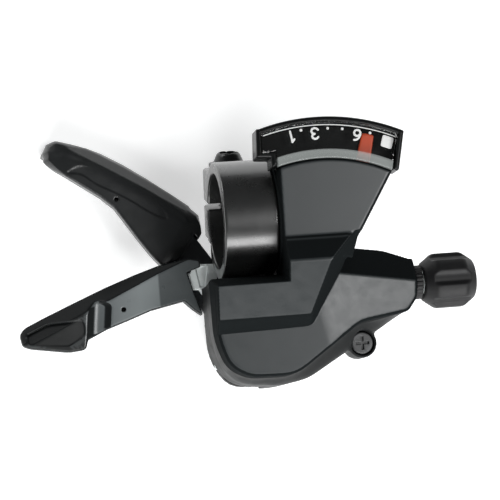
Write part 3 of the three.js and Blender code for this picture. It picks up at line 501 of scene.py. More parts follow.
def window_material():
    """Clear glossy window whose lower strip is frosted, as one moulded piece."""
    mat = bpy.data.materials.new("display_lens")
    mat.use_nodes = True
    nodes, links = mat.node_tree.nodes, mat.node_tree.links
    shader = nodes["Principled BSDF"]
    coords = nodes.new("ShaderNodeTexCoord")

    def mixed(first, second):
        node = nodes.new("ShaderNodeMixShader")
        links.new(first, node.inputs[1])
        links.new(second, node.inputs[2])
        return node

    away = nodes.new("ShaderNodeVectorMath")
    away.operation = "DISTANCE"
    flat = nodes.new("ShaderNodeVectorMath")
    flat.operation = "MULTIPLY"
    flat.inputs[1].default_value = (1, 1, 0)
    links.new(coords.outputs["Object"], flat.inputs[0])
    links.new(flat.outputs["Vector"], away.inputs[0])
    away.inputs[1].default_value = (NEEDLE_PIVOT[0] * MM, NEEDLE_PIVOT[1] * MM, 0)
    mask = nodes.new("ShaderNodeMapRange")
    mask.inputs["From Min"].default_value = FROSTED_R * MM
    mask.inputs["From Max"].default_value = (FROSTED_R + 0.15) * MM
    links.new(away.outputs["Value"], mask.inputs["Value"])
    speck = nodes.new("ShaderNodeTexNoise")
    speck.inputs["Scale"].default_value = 900
    links.new(coords.outputs["Object"], speck.inputs["Vector"])
    tint = nodes.new("ShaderNodeMix")
    tint.data_type = "RGBA"
    tint.inputs["A"].default_value = (0.365, 0.39, 0.38, 1)
    tint.inputs["B"].default_value = (0.375, 0.4, 0.39, 1)
    links.new(speck.outputs["Fac"], tint.inputs["Factor"])
    links.new(tint.outputs["Result"], shader.inputs["Base Color"])
    shader.inputs["Roughness"].default_value = 0.22
    see_through = nodes.new("ShaderNodeBsdfTransparent")
    see_through.inputs["Color"].default_value = (0.985, 0.99, 0.985, 1)
    gloss = nodes.new("ShaderNodeBsdfGlossy")
    gloss.inputs["Roughness"].default_value = 0.06
    fresnel = nodes.new("ShaderNodeFresnel")
    fresnel.inputs["IOR"].default_value = 1.45
    clear = mixed(see_through.outputs["BSDF"], gloss.outputs["BSDF"])
    links.new(fresnel.outputs["Fac"], clear.inputs["Fac"])
    frosted = mixed(see_through.outputs["BSDF"], shader.outputs["BSDF"])
    frosted.inputs["Fac"].default_value = 0.48
    joined = mixed(frosted.outputs["Shader"], clear.outputs["Shader"])
    links.new(mask.outputs["Result"], joined.inputs["Fac"])
    links.new(joined.outputs["Shader"], nodes["Material Output"].inputs["Surface"])
    return mat


def glow(mat, strength):
    """Keeps a white surface white in the shade."""
    shader = mat.node_tree.nodes["Principled BSDF"]
    shader.inputs["Emission Color"].default_value = (1, 1, 1, 1)
    shader.inputs["Emission Strength"].default_value = strength


M["display_lens"] = window_material()
# the white marks glow a little: painted light that keeps them white under the lens
glow(M["mark_white"], 0.35)
for node, piece in frame["nodes"].items():
    slot = next(s["material_slot"] for s in frame["record"]["subparts"] if s["node"] == node)
    piece.data.materials.clear()
    piece.data.materials.append(M[slot])


# ---- clamp ----
def on_bolt(y, z):
    """Distances along the bolt and out from the bar, of a point across the bar."""
    cosine, sine = math.cos(BOLT_TILT), math.sin(BOLT_TILT)
    return y * cosine + z * sine, y * sine - z * cosine


def clamp_band(x, y, z):
    r = np.hypot(y, z)
    s, n = on_bolt(y, z)
    ring = both(r - BAND_R, np.abs(x) - BAND_HALF, 0.45)
    lug_start, lug_end = 9, 20.3
    profile = both(slab(s, -7.0, 10.2), slab(n, lug_start, lug_end), 2.0)
    plan = both(np.abs(x) - BAND_HALF, n - lug_end, 3.5)
    lugs = both(profile, plan, 1.0)
    body = both(either(ring, lugs, 1.6), np.abs(x) - BAND_HALF, 0.35)
    body = np.where(n > lug_start, both(body, slab(s, -7.05, 10.2)), ring)
    foot = box((-5, 3), (-20, -10.6), (-8.9, -6.4), x, y, z, 0.4)
    body = either(body, foot, 0.4)
    body = minus(body, r - BAR_R, 0.35)
    body = minus(body, both(slab(s, 1.0, 2.4), 5 - n), 0.3)
    body = minus(body, np.hypot(x, n - BOLT_OFFSET) - 2.7)
    nut = both(slab(n, BOLT_OFFSET - 3.9, BOLT_OFFSET + 3.9), np.abs(x) - 3.9)
    body = minus(body, both(nut, s + 3.4), 0.2)
    return minus(body, post((-1, -18.4), 1.6, (-10, -5), x, y, z))


model("clamp_band", clamp_band, (-6.8, -21, -23), (6.8, 15, 14.5), 0.25, "body", "band_black")


def clamp_bolt(x, y, z):
    s, n = on_bolt(y, z)
    radius = np.hypot(x, n - BOLT_OFFSET)
    top = 10.5
    head = both(radius + 0.42 * (s - top) - 4.1, slab(s, top, top + 3.6), 0.9)
    flange = both(radius - 4.8, slab(s, top, top + 0.9), 0.25)
    shank = both(radius - 2.35 - 0.1 * np.cos(2 * math.pi * s / 0.8), slab(s, -6.4, top + 1))
    angle = np.arctan2(n - BOLT_OFFSET, x)
    sector = np.cos((angle + math.pi / 6) % (math.pi / 3) - math.pi / 6)
    socket = both(radius * sector - 2.1, top + 1.3 - s)
    return minus(either(either(head, flange, 0.3), shank), socket, 0.2)


model("clamp_bolt", clamp_bolt, (-5.2, -3.5, -23), (5.2, 20, -6), 0.16, "body", "bolt_black")


# ---- housing and covers ----
def cover_block(x, y, z, drop=0.0):
    low = SEAM_Z - 1 if drop else SEAM_Z + FIT
    edge = 0.0 if drop else 0.8
    crisp = 0.0 if drop else 0.3
    top = both(slope(LOWER_SLOPE, y, z, drop), plane((14, -25, 12.5 - drop), (0.17, -0.1, 1), x, y, z), crisp)
    top = both(top, plane((21, -15.5, 12.26 - 1.25 * drop), (0.281, 0.7, 1), x, y, z), crisp)
    lower = both(poly(COVER_OUTLINE, x, y) + drop, top, edge)
    high = both(slope(PANEL_SLOPE, y, z, drop), slope(RAMP_SLOPE, y, z, drop), crisp)
    high = both(high, slope(STEP_SLOPE, y, z, drop), crisp)
    high = both(high, plane((16.2, -19.9, 12.6), (0.72154, -0.46784, 0.5), x, y, z) + drop, crisp)
    panel = both(poly(PANEL_OUTLINE, x, y) + drop, high, crisp)
    return both(either(lower, panel, 0.0 if drop else 0.25), low - z, 0.0 if drop else 0.3)


FAN = [(5.9, -8), (22.6, -12), (24.1, -7.4)] + dial_arc(FAN_R, 32.9, 5.9)


def upper_cover(x, y, z):
    block = cover_block(x, y, z)
    fan = both(poly(FAN, x, y), slope(FAN_SLOPE, y, z), 0.9)
    bevel = plane((22, -6.6, 15.5), (0.5, -0.3, 0.8), x, y, z)
    fan = both(fan, either(bevel, -6.2 - y, 1.0), 0.3)
    fan = both(fan, TRAY_Z[1] + FIT - z, 0.2)
    inner = [(7.3, -17.6), (16.4, -17.6), (17.5, -16), (19.2, -13.2), (22.8, -7), (31.6, 7)]
    fan_hollow = both(poly(inner + dial_arc(FAN_R + 1, 31.6, 7.3), x, y), slope(FAN_SLOPE, y, z, 1.4))
    fan_hollow = both(fan_hollow, 10 - z)
    r = np.hypot(y, z)
    kept = np.minimum(r - (BAR_R + FIT + WALL), both(r - (BAND_R + FIT + WALL), np.abs(x) - BAND_HALF - 1.5))
    kept = np.minimum(kept, 24 - x)
    kept = np.minimum(kept, both(-WALL - slope(NOTCH_SLOPE, y, z), x - 6.7 - WALL))
    hollow = minus(cover_block(x, y, z, WALL), kept)
    body = either(block, fan, 0.8)
    body = both(body, SEAM_Z + FIT - z)
    body = minus(minus(body, hollow), fan_hollow)
    for screw in COVER_SCREWS:
        body = np.minimum(body, both(post(screw, 2.2, (SEAM_Z + FIT, 12), x, y, z), block))
        body = minus(body, post(screw, 1.5, (0, 9), x, y, z))
    body = np.minimum(body, both(post(NEEDLE_PIVOT, 2, (9.2, 13), x, y, z), block))
    body = minus(body, post(NEEDLE_PIVOT, 1.1, (5, 10.2), x, y, z))
    body = minus(body, r - (BAR_R + FIT), 0.25)
    notch = both(-slope(NOTCH_SLOPE, y, z), both(x - 6.7, 7.5 - z))
    body = minus(body, notch, 0.3)
    for side, outer, top in ((6.95, 14.9, 14.9), (7.2, 15.4, 11.1)):
        flange = both(slab(x, 6.3, side), slab(r, 11.6, outer), 0.05)
        body = np.minimum(body, both(flange, both(slab(y, -14, 12.6), slab(z, 0, top))))
    return minus(body, both(r - (BAND_R + FIT), np.abs(x) - BAND_HALF - 0.06), 0.05)


model("upper_cover", upper_cover, (-11, -39, 4), (40.5, 12, 20), 0.25, "body", "cover_grey")


def base_housing(x, y, z):
    low, top = poly(HOUSING_LOW, x, y), poly(HOUSING_TOP, x, y)
    flare = smooth(z, -1.5, SEAM_Z + 0.8)
    wall = low + (top - low) * flare + 0.06 * np.clip(SEAM_Z - z, 0, 8) * smooth(-x, 4, 9)
    body = both(wall, slab(z, SKIRT_Z, SEAM_Z), 0.35)
    body = either(body, post(PLUG, 3.5, (-8, -1.2), x, y, z, 0.5), 0.8)
    right = 24 - x
    chamber = minus(both(top + WALL, slab(z, FLOOR_Z[1], SEAM_Z + 1)), right)
    under = minus(both(low + WALL, slab(z, SKIRT_Z - 1, FLOOR_Z[0])), right)
    body = minus(minus(body, chamber, 0.15), under, 0.2)
    body = minus(body, box((-15, 3.6), (-45, -5), (SKIRT_Z - 1, FLOOR_Z[0]), x, y, z), 0.25)
    body = minus(body, box((3.6, 9), (-33, -5), (SKIRT_Z - 1, FLOOR_Z[0]), x, y, z), 0.25)
    body = minus(body, box((-5.3, 3.3), (-17, -12), (FLOOR_Z[1], -6.1), x, y, z))
    body = both(body, plane((24, 0, -12.5), (7, 0, -14.6), x, y, z), 0.8)
    body = minus(body, post(AXLE, 5.2, (-12, -8), x, y, z))
    bore = np.hypot(y - CABLE_Y, z - CABLE_Z)
    body = minus(body, both(bore - 3.2, 20 - x), 0.3)
    body = minus(body, post(PLUG, 2.9, (-2.8, 5), x, y, z), 0.25)
    body = minus(body, post(PLUG, 1.9, (-6.6, 0), x, y, z))
    for screw in COVER_SCREWS:
        body = np.minimum(body, both(post(screw, 2.2, (FLOOR_Z[1] - 0.5, SEAM_Z), x, y, z), wall))
        body = minus(body, post(screw, 1.5, (-12, 6), x, y, z))
    for screw in BASE_SCREWS:
        body = np.minimum(body, post(screw, 2.7, (SKIRT_Z, FLOOR_Z[0] + 0.5), x, y, z))
        body = minus(body, post(screw, 1.5, (SKIRT_Z - 1, FLOOR_Z[0] - 0.8), x, y, z))
    body = minus(body, post((-1, -18.4), 1.5, (-10.4, -9), x, y, z))
    for pivot in (RELEASE_PIVOT, HOLD_PIVOT):
        body = minus(body, post(pivot, 1.6, (-12, FLOOR_Z[1] - 0.5), x, y, z))
    band = both(np.hypot(y, z) - (BAND_R + FIT), np.abs(x) - BAND_HALF - 0.4)
    return minus(body, band, 0.3)


model("base_housing", base_housing, (-10.5, -41, -19.5), (40, -10.5, 5.5), 0.25, "body", "housing_black")

BOTTOM_OUTLINE = [
    (-7.4, -18.5, 3), (-7.4, -30.5, 4), (-3, -38.3, 4), (12, -38.3, 4), (24.2, -29.8, 3), (23.6, -13.6, 2),
    (5, -13.6, 3),
]


def bottom_cover(x, y, z):
    edge = poly(BOTTOM_OUTLINE, x, y)
    shell = both(both(edge, z - BOTTOM_Z[1], 0.2), BOTTOM_Z[0] - z, 1.2)
    shell = minus(shell, both(edge + 1.3, BOTTOM_Z[0] + 1.3 - z))
    rings = np.abs(np.hypot(x - AXLE[0], y - AXLE[1]) - 8.5) - 0.35
    shell = minus(shell, both(rings, z - (BOTTOM_Z[0] + 0.3)), 0.1)
    for screw in BASE_SCREWS:
        shell = np.minimum(shell, post(screw, 2.8, (BOTTOM_Z[0] + 0.6, BOTTOM_Z[1]), x, y, z))
        shell = minus(shell, post(screw, 1.6, (-30, -20), x, y, z))
        shell = minus(shell, post(screw, 2.5, (-30, BOTTOM_Z[0] + 1.5), x, y, z), 0.2)
    return shell


model("bottom_cover", bottom_cover, (-8.2, -39.2, -25.2), (25, -12.8, -20.2), 0.2, "body", "housing_black")


def base_plate(x, y, z):
    points = [(-7.6, -18.8, 3), (-7.6, -30, 4), (-3, -38, 4), (12, -38, 3), (24, -30, 2), (23.4, -13.8, 2),
              (5, -13.8, 3)]
    plate = prism(points, BASE_PLATE_Z, x, y, z, 0.25)
    plate = minus(plate, np.hypot(x - AXLE[0], y - AXLE[1]) - AXLE_R - FIT, 0.15)
    for sx, sy in BASE_SCREWS:
        plate = minus(plate, np.hypot(x - sx, y - sy) - 1.6, 0.15)
    return plate


model("base_plate", base_plate, (-8.2, -38.7, -21), (24.7, -13.2, -18.5), 0.2, "body", "dark_steel")


def screw_field(cx, cy, shank, head, head_r, shank_r, upward):
    """A cross-slotted screw; upward says which way its slotted face looks."""
    def field(x, y, z):
        radius = np.hypot(x - cx, y - cy)
        thread = 0.08 + 0.08 * np.cos(2 * math.pi * z / 0.7)
        body = both(radius - shank_r + thread, slab(z, *shank), 0.1)
        body = np.minimum(body, both(radius - head_r, slab(z, *head), 0.35))
        face = head[1] if upward else head[0]
        depth = 0.55 - np.abs(z - face)
        cross = np.minimum(both(np.abs(x - cx) - head_r * 0.6, np.abs(y - cy) - 0.3),
                           both(np.abs(y - cy) - head_r * 0.6, np.abs(x - cx) - 0.3))
        return minus(body, both(cross, -depth), 0.05)
    return field


def screw(name, cx, cy, shank, head, head_r, slot, shank_r=1.2, upward=False):
    reach = head_r + 0.4
    low = (cx - reach, cy - reach, min(shank[0], head[0]) - 0.4)
    high = (cx + reach, cy + reach, max(shank[1], head[1]) + 0.4)
    model(name, screw_field(cx, cy, shank, head, head_r, shank_r, upward), low, high, 0.13, "body", slot)


screw("band_screw", -1, -18.4, (-10.1, -6), (-6.1, -4.9), 2.3, "dark_steel", upward=True)
for i, (sx, sy) in enumerate(COVER_SCREWS):
    screw(f"cover_screw_{i + 1}", sx, sy, (-11.1, 8.4), (-12.2, -11.1), 2.2, "dark_steel")
for i, (sx, sy) in enumerate(BASE_SCREWS):
    screw(f"base_screw_{i + 1}", sx, sy, (-23.3, -12.4), (-24.4, -23.3), 2.2, "dark_steel")
screw("cable_access_plug", *PLUG, (-6.2, -2.4), (-2.5, -1.4), 2.6, "plug_black", shank_r=1.6, upward=True)


# ---- axle and winder ----
turned("main_axle", [
    (0, -22.6), (4.2, -22.6), (4.5, -22.3), (4.5, -20.8), (AXLE_R, -20.8), (AXLE_R, 9.3),
    (2.2, 9.6), (0, 9.6),
], "body", "zinc_steel", center=AXLE)
turned("axle_washer", [
    (2.8, 5.75), (2.85, 5.7), (4.15, 5.7), (4.2, 5.75), (4.2, 6.35), (4.15, 6.4), (2.8, 6.4),
], "body", "zinc_steel", center=AXLE)


def axle_nut(x, y, z):
    dx, dy = x - AXLE[0], y - AXLE[1]
    radius, angle = np.hypot(dx, dy), np.arctan2(dy, dx)
    sector = np.cos(angle % (math.pi / 3) - math.pi / 6)
    body = both(both(radius * sector - 3.2, radius - 3.65, 0.1), slab(z, 6.7, 9.1), 0.3)
    return minus(body, radius - 2.8, 0.1)


model("axle_nut", axle_nut, (1.8, -30, 6.3), (10.2, -21.6, 9.5), 0.15, "body", "zinc_steel")

groove = [(8.9 - math.cos(math.radians(a)), 1.5 + 1.55 * math.sin(math.radians(a)))
          for a in range(-60, 61, 10)]
turned("cable_pulley", [
    (2.8, -16.8), (3.9, -16.8), (3.9, -14.8), (4.6, -14.8), (4.6, -1), (8.6, -1), (8.8, -0.8), (8.8, -0.3),
    *groove, (8.8, 3.3), (8.8, 3.8), (8.6, 4), (2.8, 4),
], "winder", "pulley_black", center=AXLE)


def ratchet_points():
    points = []
    for i in range(18):
        tip, root = polar(AXLE, 9.2, i * 20), polar(AXLE, 7.7, i * 20 + 1.5)
        points += [(*tip, 0.12), (*root, 0.25)]
    return points


def ratchet_wheel(x, y, z):
    wheel = prism(ratchet_points(), RATCHET_Z, x, y, z, 0.1)
    wheel = minus(wheel, np.hypot(x - AXLE[0], y - AXLE[1]) - 4.2, 0.1)
    for i in range(6):
        hole = polar(AXLE, 6.0, 30 + 60 * i)
        wheel = minus(wheel, np.hypot(x - hole[0], y - hole[1]) - 0.55, 0.1)
    return wheel


model("ratchet_wheel", ratchet_wheel, (-3.8, -35.6, -17), (15.8, -16, -14.7), 0.15, "winder", "zinc_steel")


# ---- gear display ----
DISPLAY = ([(1.5, 11.6, 0.5), (4.8, 11.4, 0.3)] + dial_arc(FAN_R + FIT, 4.8, 33.9)
           + [(34.3, 7, 0.4), (36.3, 15.9, 0.9)] + dial_arc(DISPLAY_R, 35.7, 2.6) + [(1.9, 18.2, 0.9)])
OPENING = ([(2.7, 12.6), (5.9, 12.6)] + dial_arc(FAN_R - 0.5, 6, 32.6) + [(33.2, 7.6), (34.9, 15.2)]
           + dial_arc(DISPLAY_R - 1.1, 34.5, 3.4) + [(2.9, 17.2)])
WINDOW = ([(3.0, 12.9), (6.2, 12.9)] + dial_arc(FAN_R + 0.08, 6.3, 32.7) + [(33.1, 8.9), (34.5, 14.9)]
          + dial_arc(DISPLAY_R - 1.2, 34.3, 3.6) + [(3.05, 17.05)])
TRAY_FLOOR = [(7, -5.6), (23.9, -5.6), (31.7, 7), (28, 11), (7, 11.4)]


def indicator_tray(x, y, z):
    edge = both(poly(DISPLAY, x, y), TRAY_Z[0] - z, 1.0)
    body = both(edge, z - DISPLAY_TOP_Z, 0.7)
    body = minus(body, both(poly(OPENING, x, y), TRAY_Z[1] - z), 0.2)
    body = np.minimum(body, prism(TRAY_FLOOR, TRAY_Z, x, y, z))
    return minus(body, np.hypot(y, z) - (BAR_R + FIT))


model("indicator_tray", indicator_tray, (0.9, -6.4, 11), (37.2, 21, 18.8), 0.18, "body", "display_black")
model("indicator_dial", lambda x, y, z: prism(WINDOW, (TRAY_Z[1] + FIT, 12.9), x, y, z, 0.15),
      (2.4, 7, 12), (35.2, 20.2, 13.2), 0.18, "body", "display_black")
model("indicator_lens", lambda x, y, z: both(both(poly(WINDOW, x, y), 16.2 - z), z - 17.9, 0.12),
      (2.4, 7, 15.8), (35.2, 20.2, 18.3), 0.2, "body", "display_lens")


def needle_outline():
    shape = [(36.4, 1.0), (38.2, 2.5), (44.5, 1.8), (44.5, -1.8), (38.2, -2.6), (36.4, -1.0)]
    return [(*dial_point(r, REST_ANGLE + a), 0.4) for r, a in shape]


def strip(start, end, width, extra, x, y):
    start, end = np.array(start), np.array(end)
    along = (end - start) / np.hypot(*(end - start))
    dx, dy = x - start[0], y - start[1]
    run, side = dx * along[0] + dy * along[1], dx * along[1] - dy * along[0]
    return both(slab(run, 0, np.hypot(*(end - start)) + extra), np.abs(side) - width / 2)


def indicator_needle(x, y, z):
    pivot = np.array(NEEDLE_PIVOT)
    knee = np.array(dial_point(14, REST_ANGLE - 22.5))
    follower = polar(NEEDLE_PIVOT, 5, 194.5)
    low, high = 6.9, NEEDLE_Z[0]
    body = post(NEEDLE_PIVOT, 2.2, (low, 8.6), x, y, z, 0.1)
    foot = strip(pivot, pivot + (knee - pivot) * 0.5, 1.5, 0.2, x, y)
    body = np.minimum(body, both(foot, slab(z, low, 7.5)))
    for i in range(5):
        base = low + (high - low) * (i + 0.2) / 5
        t = 0.5 + 0.1 * i
        arm = strip(pivot + (knee - pivot) * t, pivot + (knee - pivot) * (t + 0.1), 1.5, 0.3, x, y)
        body = np.minimum(body, both(arm, slab(z, base, base + 1.9)))
    reach = strip(knee, dial_point(FAN_R, REST_ANGLE), 1.5, 0.5, x, y)
    body = np.minimum(body, both(reach, slab(z, *NEEDLE_Z)))
    body = np.minimum(body, prism(needle_outline(), NEEDLE_Z, x, y, z, 0.12))
    body = np.minimum(body, both(strip(NEEDLE_PIVOT, follower, 1.6, 0.8, x, y), slab(z, low, 7.5)))
    body = np.minimum(body, post(follower, 0.6, (4.6, 7.5), x, y, z))
    return minus(body, np.hypot(x - NEEDLE_PIVOT[0], y - NEEDLE_PIVOT[1]) - 1.1)


model("indicator_needle", indicator_needle, (10.5, -29.5, 4.2), (31.5, 18, 15.4), 0.2, "needle", "needle_red")

# white marks under the window: generic gear numbers, dots and a block
DIGITS = {
    "1": [[(0.0, 0.0), (0.0, 1.0)], [(0.0, 1.0), (-0.24, 0.78)]],
    "3": [[(-0.3, 0.84), (-0.16, 0.97), (0.06, 1.0), (0.25, 0.9), (0.3, 0.74), (0.22, 0.58),
           (0.02, 0.53)],
          [(0.02, 0.53), (0.26, 0.46), (0.34, 0.27), (0.26, 0.09), (0.05, 0.0), (-0.18, 0.03),
           (-0.34, 0.17)]],
    "6": [[(0.24, 0.97), (0.02, 0.93), (-0.2, 0.72), (-0.31, 0.42), (-0.3, 0.2), (-0.16, 0.03), (0.04, 0.0),
           (0.25, 0.09), (0.33, 0.29), (0.26, 0.48), (0.07, 0.57), (-0.14, 0.52), (-0.28, 0.36)]],
}
MARK_Z = (15.85, 16.05)


def capsule(a, b, radius, x, y):
    ex, ey = b[0] - a[0], b[1] - a[1]
    t = np.clip(((x - a[0]) * ex + (y - a[1]) * ey) / (ex * ex + ey * ey + 1e-12), 0, 1)
    return np.hypot(x - a[0] - t * ex, y - a[1] - t * ey) - radius


def dial_marks(x, y, z):
    shape = np.full(np.broadcast(x, y).shape, 9.0)
    for text, angle in (("1", -8.3), ("3", -0.9), ("6", 12.2)):
        radial = math.radians(90 - angle)
        out = np.array((math.cos(radial), math.sin(radial)))
        side = np.array((out[1], -out[0]))
        foot = np.array(dial_point(44.45, angle))
        for line in DIGITS[text]:
            spots = [foot - side * a * 2.35 - out * b * 2.5 for a, b in line]
            for a, b in zip(spots, spots[1:]):
                shape = np.minimum(shape, capsule(a, b, 0.23, x, y))
    for angle in (-5.0, 3.1, 7.5, 16.0):
        spot = dial_point(44.3, angle)
        shape = np.minimum(shape, np.hypot(x - spot[0], y - spot[1]) - 0.32)
    corners = [(*dial_point(r, a), 0.45) for r, a in ((42.0, 20.0), (44.7, 19.9), (44.7, 23.3), (42.0, 23.6))]
    shape = np.minimum(shape, poly(corners, x, y))
    angle = np.degrees(np.arctan2(x - NEEDLE_PIVOT[0], y - NEEDLE_PIVOT[1]))
    radius = np.hypot(x - NEEDLE_PIVOT[0], y - NEEDLE_PIVOT[1])
    shape = np.minimum(shape, both(np.abs(radius - 45.15) - 0.11, (np.abs(angle - 4.0) - 20.4) * 0.78))
    return both(shape, slab(z, *MARK_Z))


marks = surface_nets(dial_marks, (2.6, 8, 15.7), (35.5, 20, 16.2), 0.075 * COARSE)
marks = mesh_object("dial_marks", *marks, M["mark_white"])
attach(marks, "body")


# ---- levers ----
WEB = MAIN_LOWER + [(-44.4, 19.4, 0.6)] + MAIN_UPPER[1:] + [(-7.2, -0.6), (-10.5, -5.8), (-17.5, -8.2)]
PAD = MAIN_UPPER[:-1] + MAIN_RIDGE[::-1]
LEAF = [
    (-38.3, 16.2), (-35.2, 15.6), (-31.7, 13.0), (-27.8, 10.9), (-23.6, 8.4), (-19.4, 5.4),
    (-15.6, 3.6), (-17.0, 6.4), (-21.0, 9.6), (-25.1, 12.3), (-30.1, 15.2), (-34.7, 17.3),
]


def curve_points(points):
    """A closed smooth curve through the given corners, four steps from each to the next."""
    pts = np.array(points, float)
    result = []
    for i in range(len(pts)):
        p0, p1, p2, p3 = pts[i - 1], pts[i], pts[(i + 1) % len(pts)], pts[(i + 2) % len(pts)]
        for t in (0, 0.25, 0.5, 0.75):
            linear, square = p2 - p0, 2 * p0 - 5 * p1 + 4 * p2 - p3
            cube = 3 * p1 - p0 - 3 * p2 + p3
            result.append(tuple(p1 + 0.5 * (linear * t + square * t * t + cube * t ** 3)))
    return result


def main_lever_cover(x, y, z):
    web = both(prism(WEB, MAIN_WEB_Z, x, y, z, 0.6), y - 24.2)
    pad = prism(PAD, (MAIN_PAD_Z, MAIN_WEB_Z[1]), x, y, z, 0.9)
    body = either(web, pad, 0.8)
    body = both(body, plane((-34.7, 18.9, MAIN_WEB_Z[1]), (0.36, 0.58, 0.75), x, y, z), 1.8)
    body = both(body, plane((-41.0, 18.6, MAIN_WEB_Z[1]), (-0.5, 0.1, 0.8), x, y, z), 2.4)
    leaf = poly(curve_points(LEAF), x, y)
    body = minus(body, both(leaf, MAIN_WEB_Z[1] - 0.16 - z), 0.5)
    crease = plane((-12.0, -2.2, MAIN_WEB_Z[1] - 0.35), (0.2, -0.12, 1), x, y, z)
    body = both(body, crease, 0.2)
    pocket = [(-10.4, -9), (-7.8, -2.2), (-13.8, 5.6), (-23.9, 6.6), (-19.4, -3.6), (-16, -10)]
    body = minus(body, prism(pocket, (MAIN_PLATE_Z[0] - FIT, MAIN_PLATE_Z[1] + FIT), x, y, z))
    return minus(body, both(np.hypot(x + 27.3, y - 8.9) - 0.5, MAIN_WEB_Z[1] - 2.2 - z), 0.12)


model("main_lever_cover", main_lever_cover, (-45, -9, -26.8), (-6.5, 25, -15.3), 0.22,
      "main_lever", "lever_black")
FEED_PIVOT = polar(AXLE, 13.2, 112)
MAIN_ARM = [
    (6, -18), (-4.4, -8.2), (-8.2, -2.4), (-14, 5.2, 2), (-23.5, 6.2, 2), (-19, -3.5), (-12.5, -15),
    (-1.6, -27.6),
]


def main_lever_plate(x, y, z):
    body = either(poly(MAIN_ARM, x, y), np.hypot(x - AXLE[0], y - AXLE[1]) - 8, 0.5)
    body = np.minimum(body, np.hypot(x - FEED_PIVOT[0], y - FEED_PIVOT[1]) - 2.6)
    body = both(body, slab(z, *MAIN_PLATE_Z), 0.25)
    body = minus(body, np.hypot(x - AXLE[0], y - AXLE[1]) - AXLE_R - FIT, 0.15)
    return minus(body, np.hypot(x - FEED_PIVOT[0], y - FEED_PIVOT[1]) - 1.3, 0.1)


model("main_lever_plate", main_lever_plate, (-24.2, -34.6, -19), (14.6, 7, -16.6), 0.2,
      "main_lever", "lever_steel")


def pawl(pivot, nose, x, y, z, extra=None):
    pivot, nose = np.array(pivot), np.array(nose)
    along = (nose - pivot) / np.hypot(*(nose - pivot))
    side = np.array((-along[1], along[0]))
    corners = [pivot + side * 1.8, pivot - side * 1.8, nose - side * 0.5, nose + side * 0.5]
    flat = np.minimum(poly([tuple(c) for c in corners], x, y), np.hypot(x - pivot[0], y - pivot[1]) - 2.2)
    if extra is not None:
        flat = np.minimum(flat, poly(extra, x, y))
    body = both(flat, slab(z, *RATCHET_Z), 0.15)
    if extra is not None:
        body = np.minimum(body, post(HOLD_FOLLOWER, 0.7, (RATCHET_Z[0], -12.8), x, y, z, 0.1))
    return minus(body, np.hypot(x - pivot[0], y - pivot[1]) - 1.3, 0.1)


model("feed_pawl", lambda x, y, z: pawl(FEED_PIVOT, polar(AXLE, 10.05, 141), x, y, z),
      (-3, -21, -17), (4, -10.5, -14.7), 0.13, "feed_pawl_body", "dark_steel")
HOLD_NOSE = polar(AXLE, 10.05, 215)
HOLD_ARM = [
    (HOLD_NOSE[0] - 0.4, HOLD_NOSE[1] - 1.2), (HOLD_NOSE[0] - 0.2, HOLD_NOSE[1] + 0.8),
    (HOLD_FOLLOWER[0] + 1.0, HOLD_FOLLOWER[1] + 0.3), (HOLD_FOLLOWER[0] - 1.1, HOLD_FOLLOWER[1]),
    (HOLD_FOLLOWER[0] - 0.4, HOLD_FOLLOWER[1] - 2.2),
]
model("hold_pawl", lambda x, y, z: pawl(HOLD_PIVOT, HOLD_NOSE, x, y, z, HOLD_ARM),
      (-6.2, -39.2, -17), (3.7, -27.6, -12.4), 0.15, "hold_pawl_body", "dark_steel")
RELEASE_PLATE = [
    (-27, -15.2), (-27, -18.2), (-14, -14.6), (-9.7, -14.6), (-8, -17.2), (-7.3, -24), (-7.3, -34),
    (-1.9, -34), (-1.9, -26), (-0.8, -18.5), (-1.2, -15.6), (-5.2, -14.4), (-5.0, -8.6, 0.6), (-11.2, -8.4),
    (-11.3, -10.3), (-12, -10.5),
]


def release_lever_plate(x, y, z):
    body = prism(RELEASE_PLATE, RELEASE_PLATE_Z, x, y, z, 0.3)
    body = minus(body, both(slab(x, -6.1, -2.9), slab(y, -32.6, -26.6)), 0.15)
    press = poly([(-10.0, -9.4), (-7.2, -9.0), (-8.2, -13.9), (-9.3, -14.0)], x, y)
    body = minus(body, both(press, RELEASE_PLATE_Z[1] - 0.35 - z), 0.3)
    body = both(body, plane((-7.2, -9.6, RELEASE_PLATE_Z[1] - 0.1), (0.25, 0.3, 1), x, y, z), 0.15)
    return minus(body, np.hypot(x - RELEASE_PIVOT[0], y - RELEASE_PIVOT[1]) - 1.6, 0.1)


model("release_lever_plate", release_lever_plate, (-27.6, -34.6, -14.4), (-0.2, -7.8, -12.1), 0.16,
      "release_lever", "zinc_steel")
PADDLE = [
    (-51.2, -22.3, 0.5), (-46.4, -20.2, 0.8), (-37.9, -20.0, 1.2), (-37.7, -23.4, 1.2),
    (-41.7, -25.6, 0.8), (-50.9, -24.6, 0.6),
]


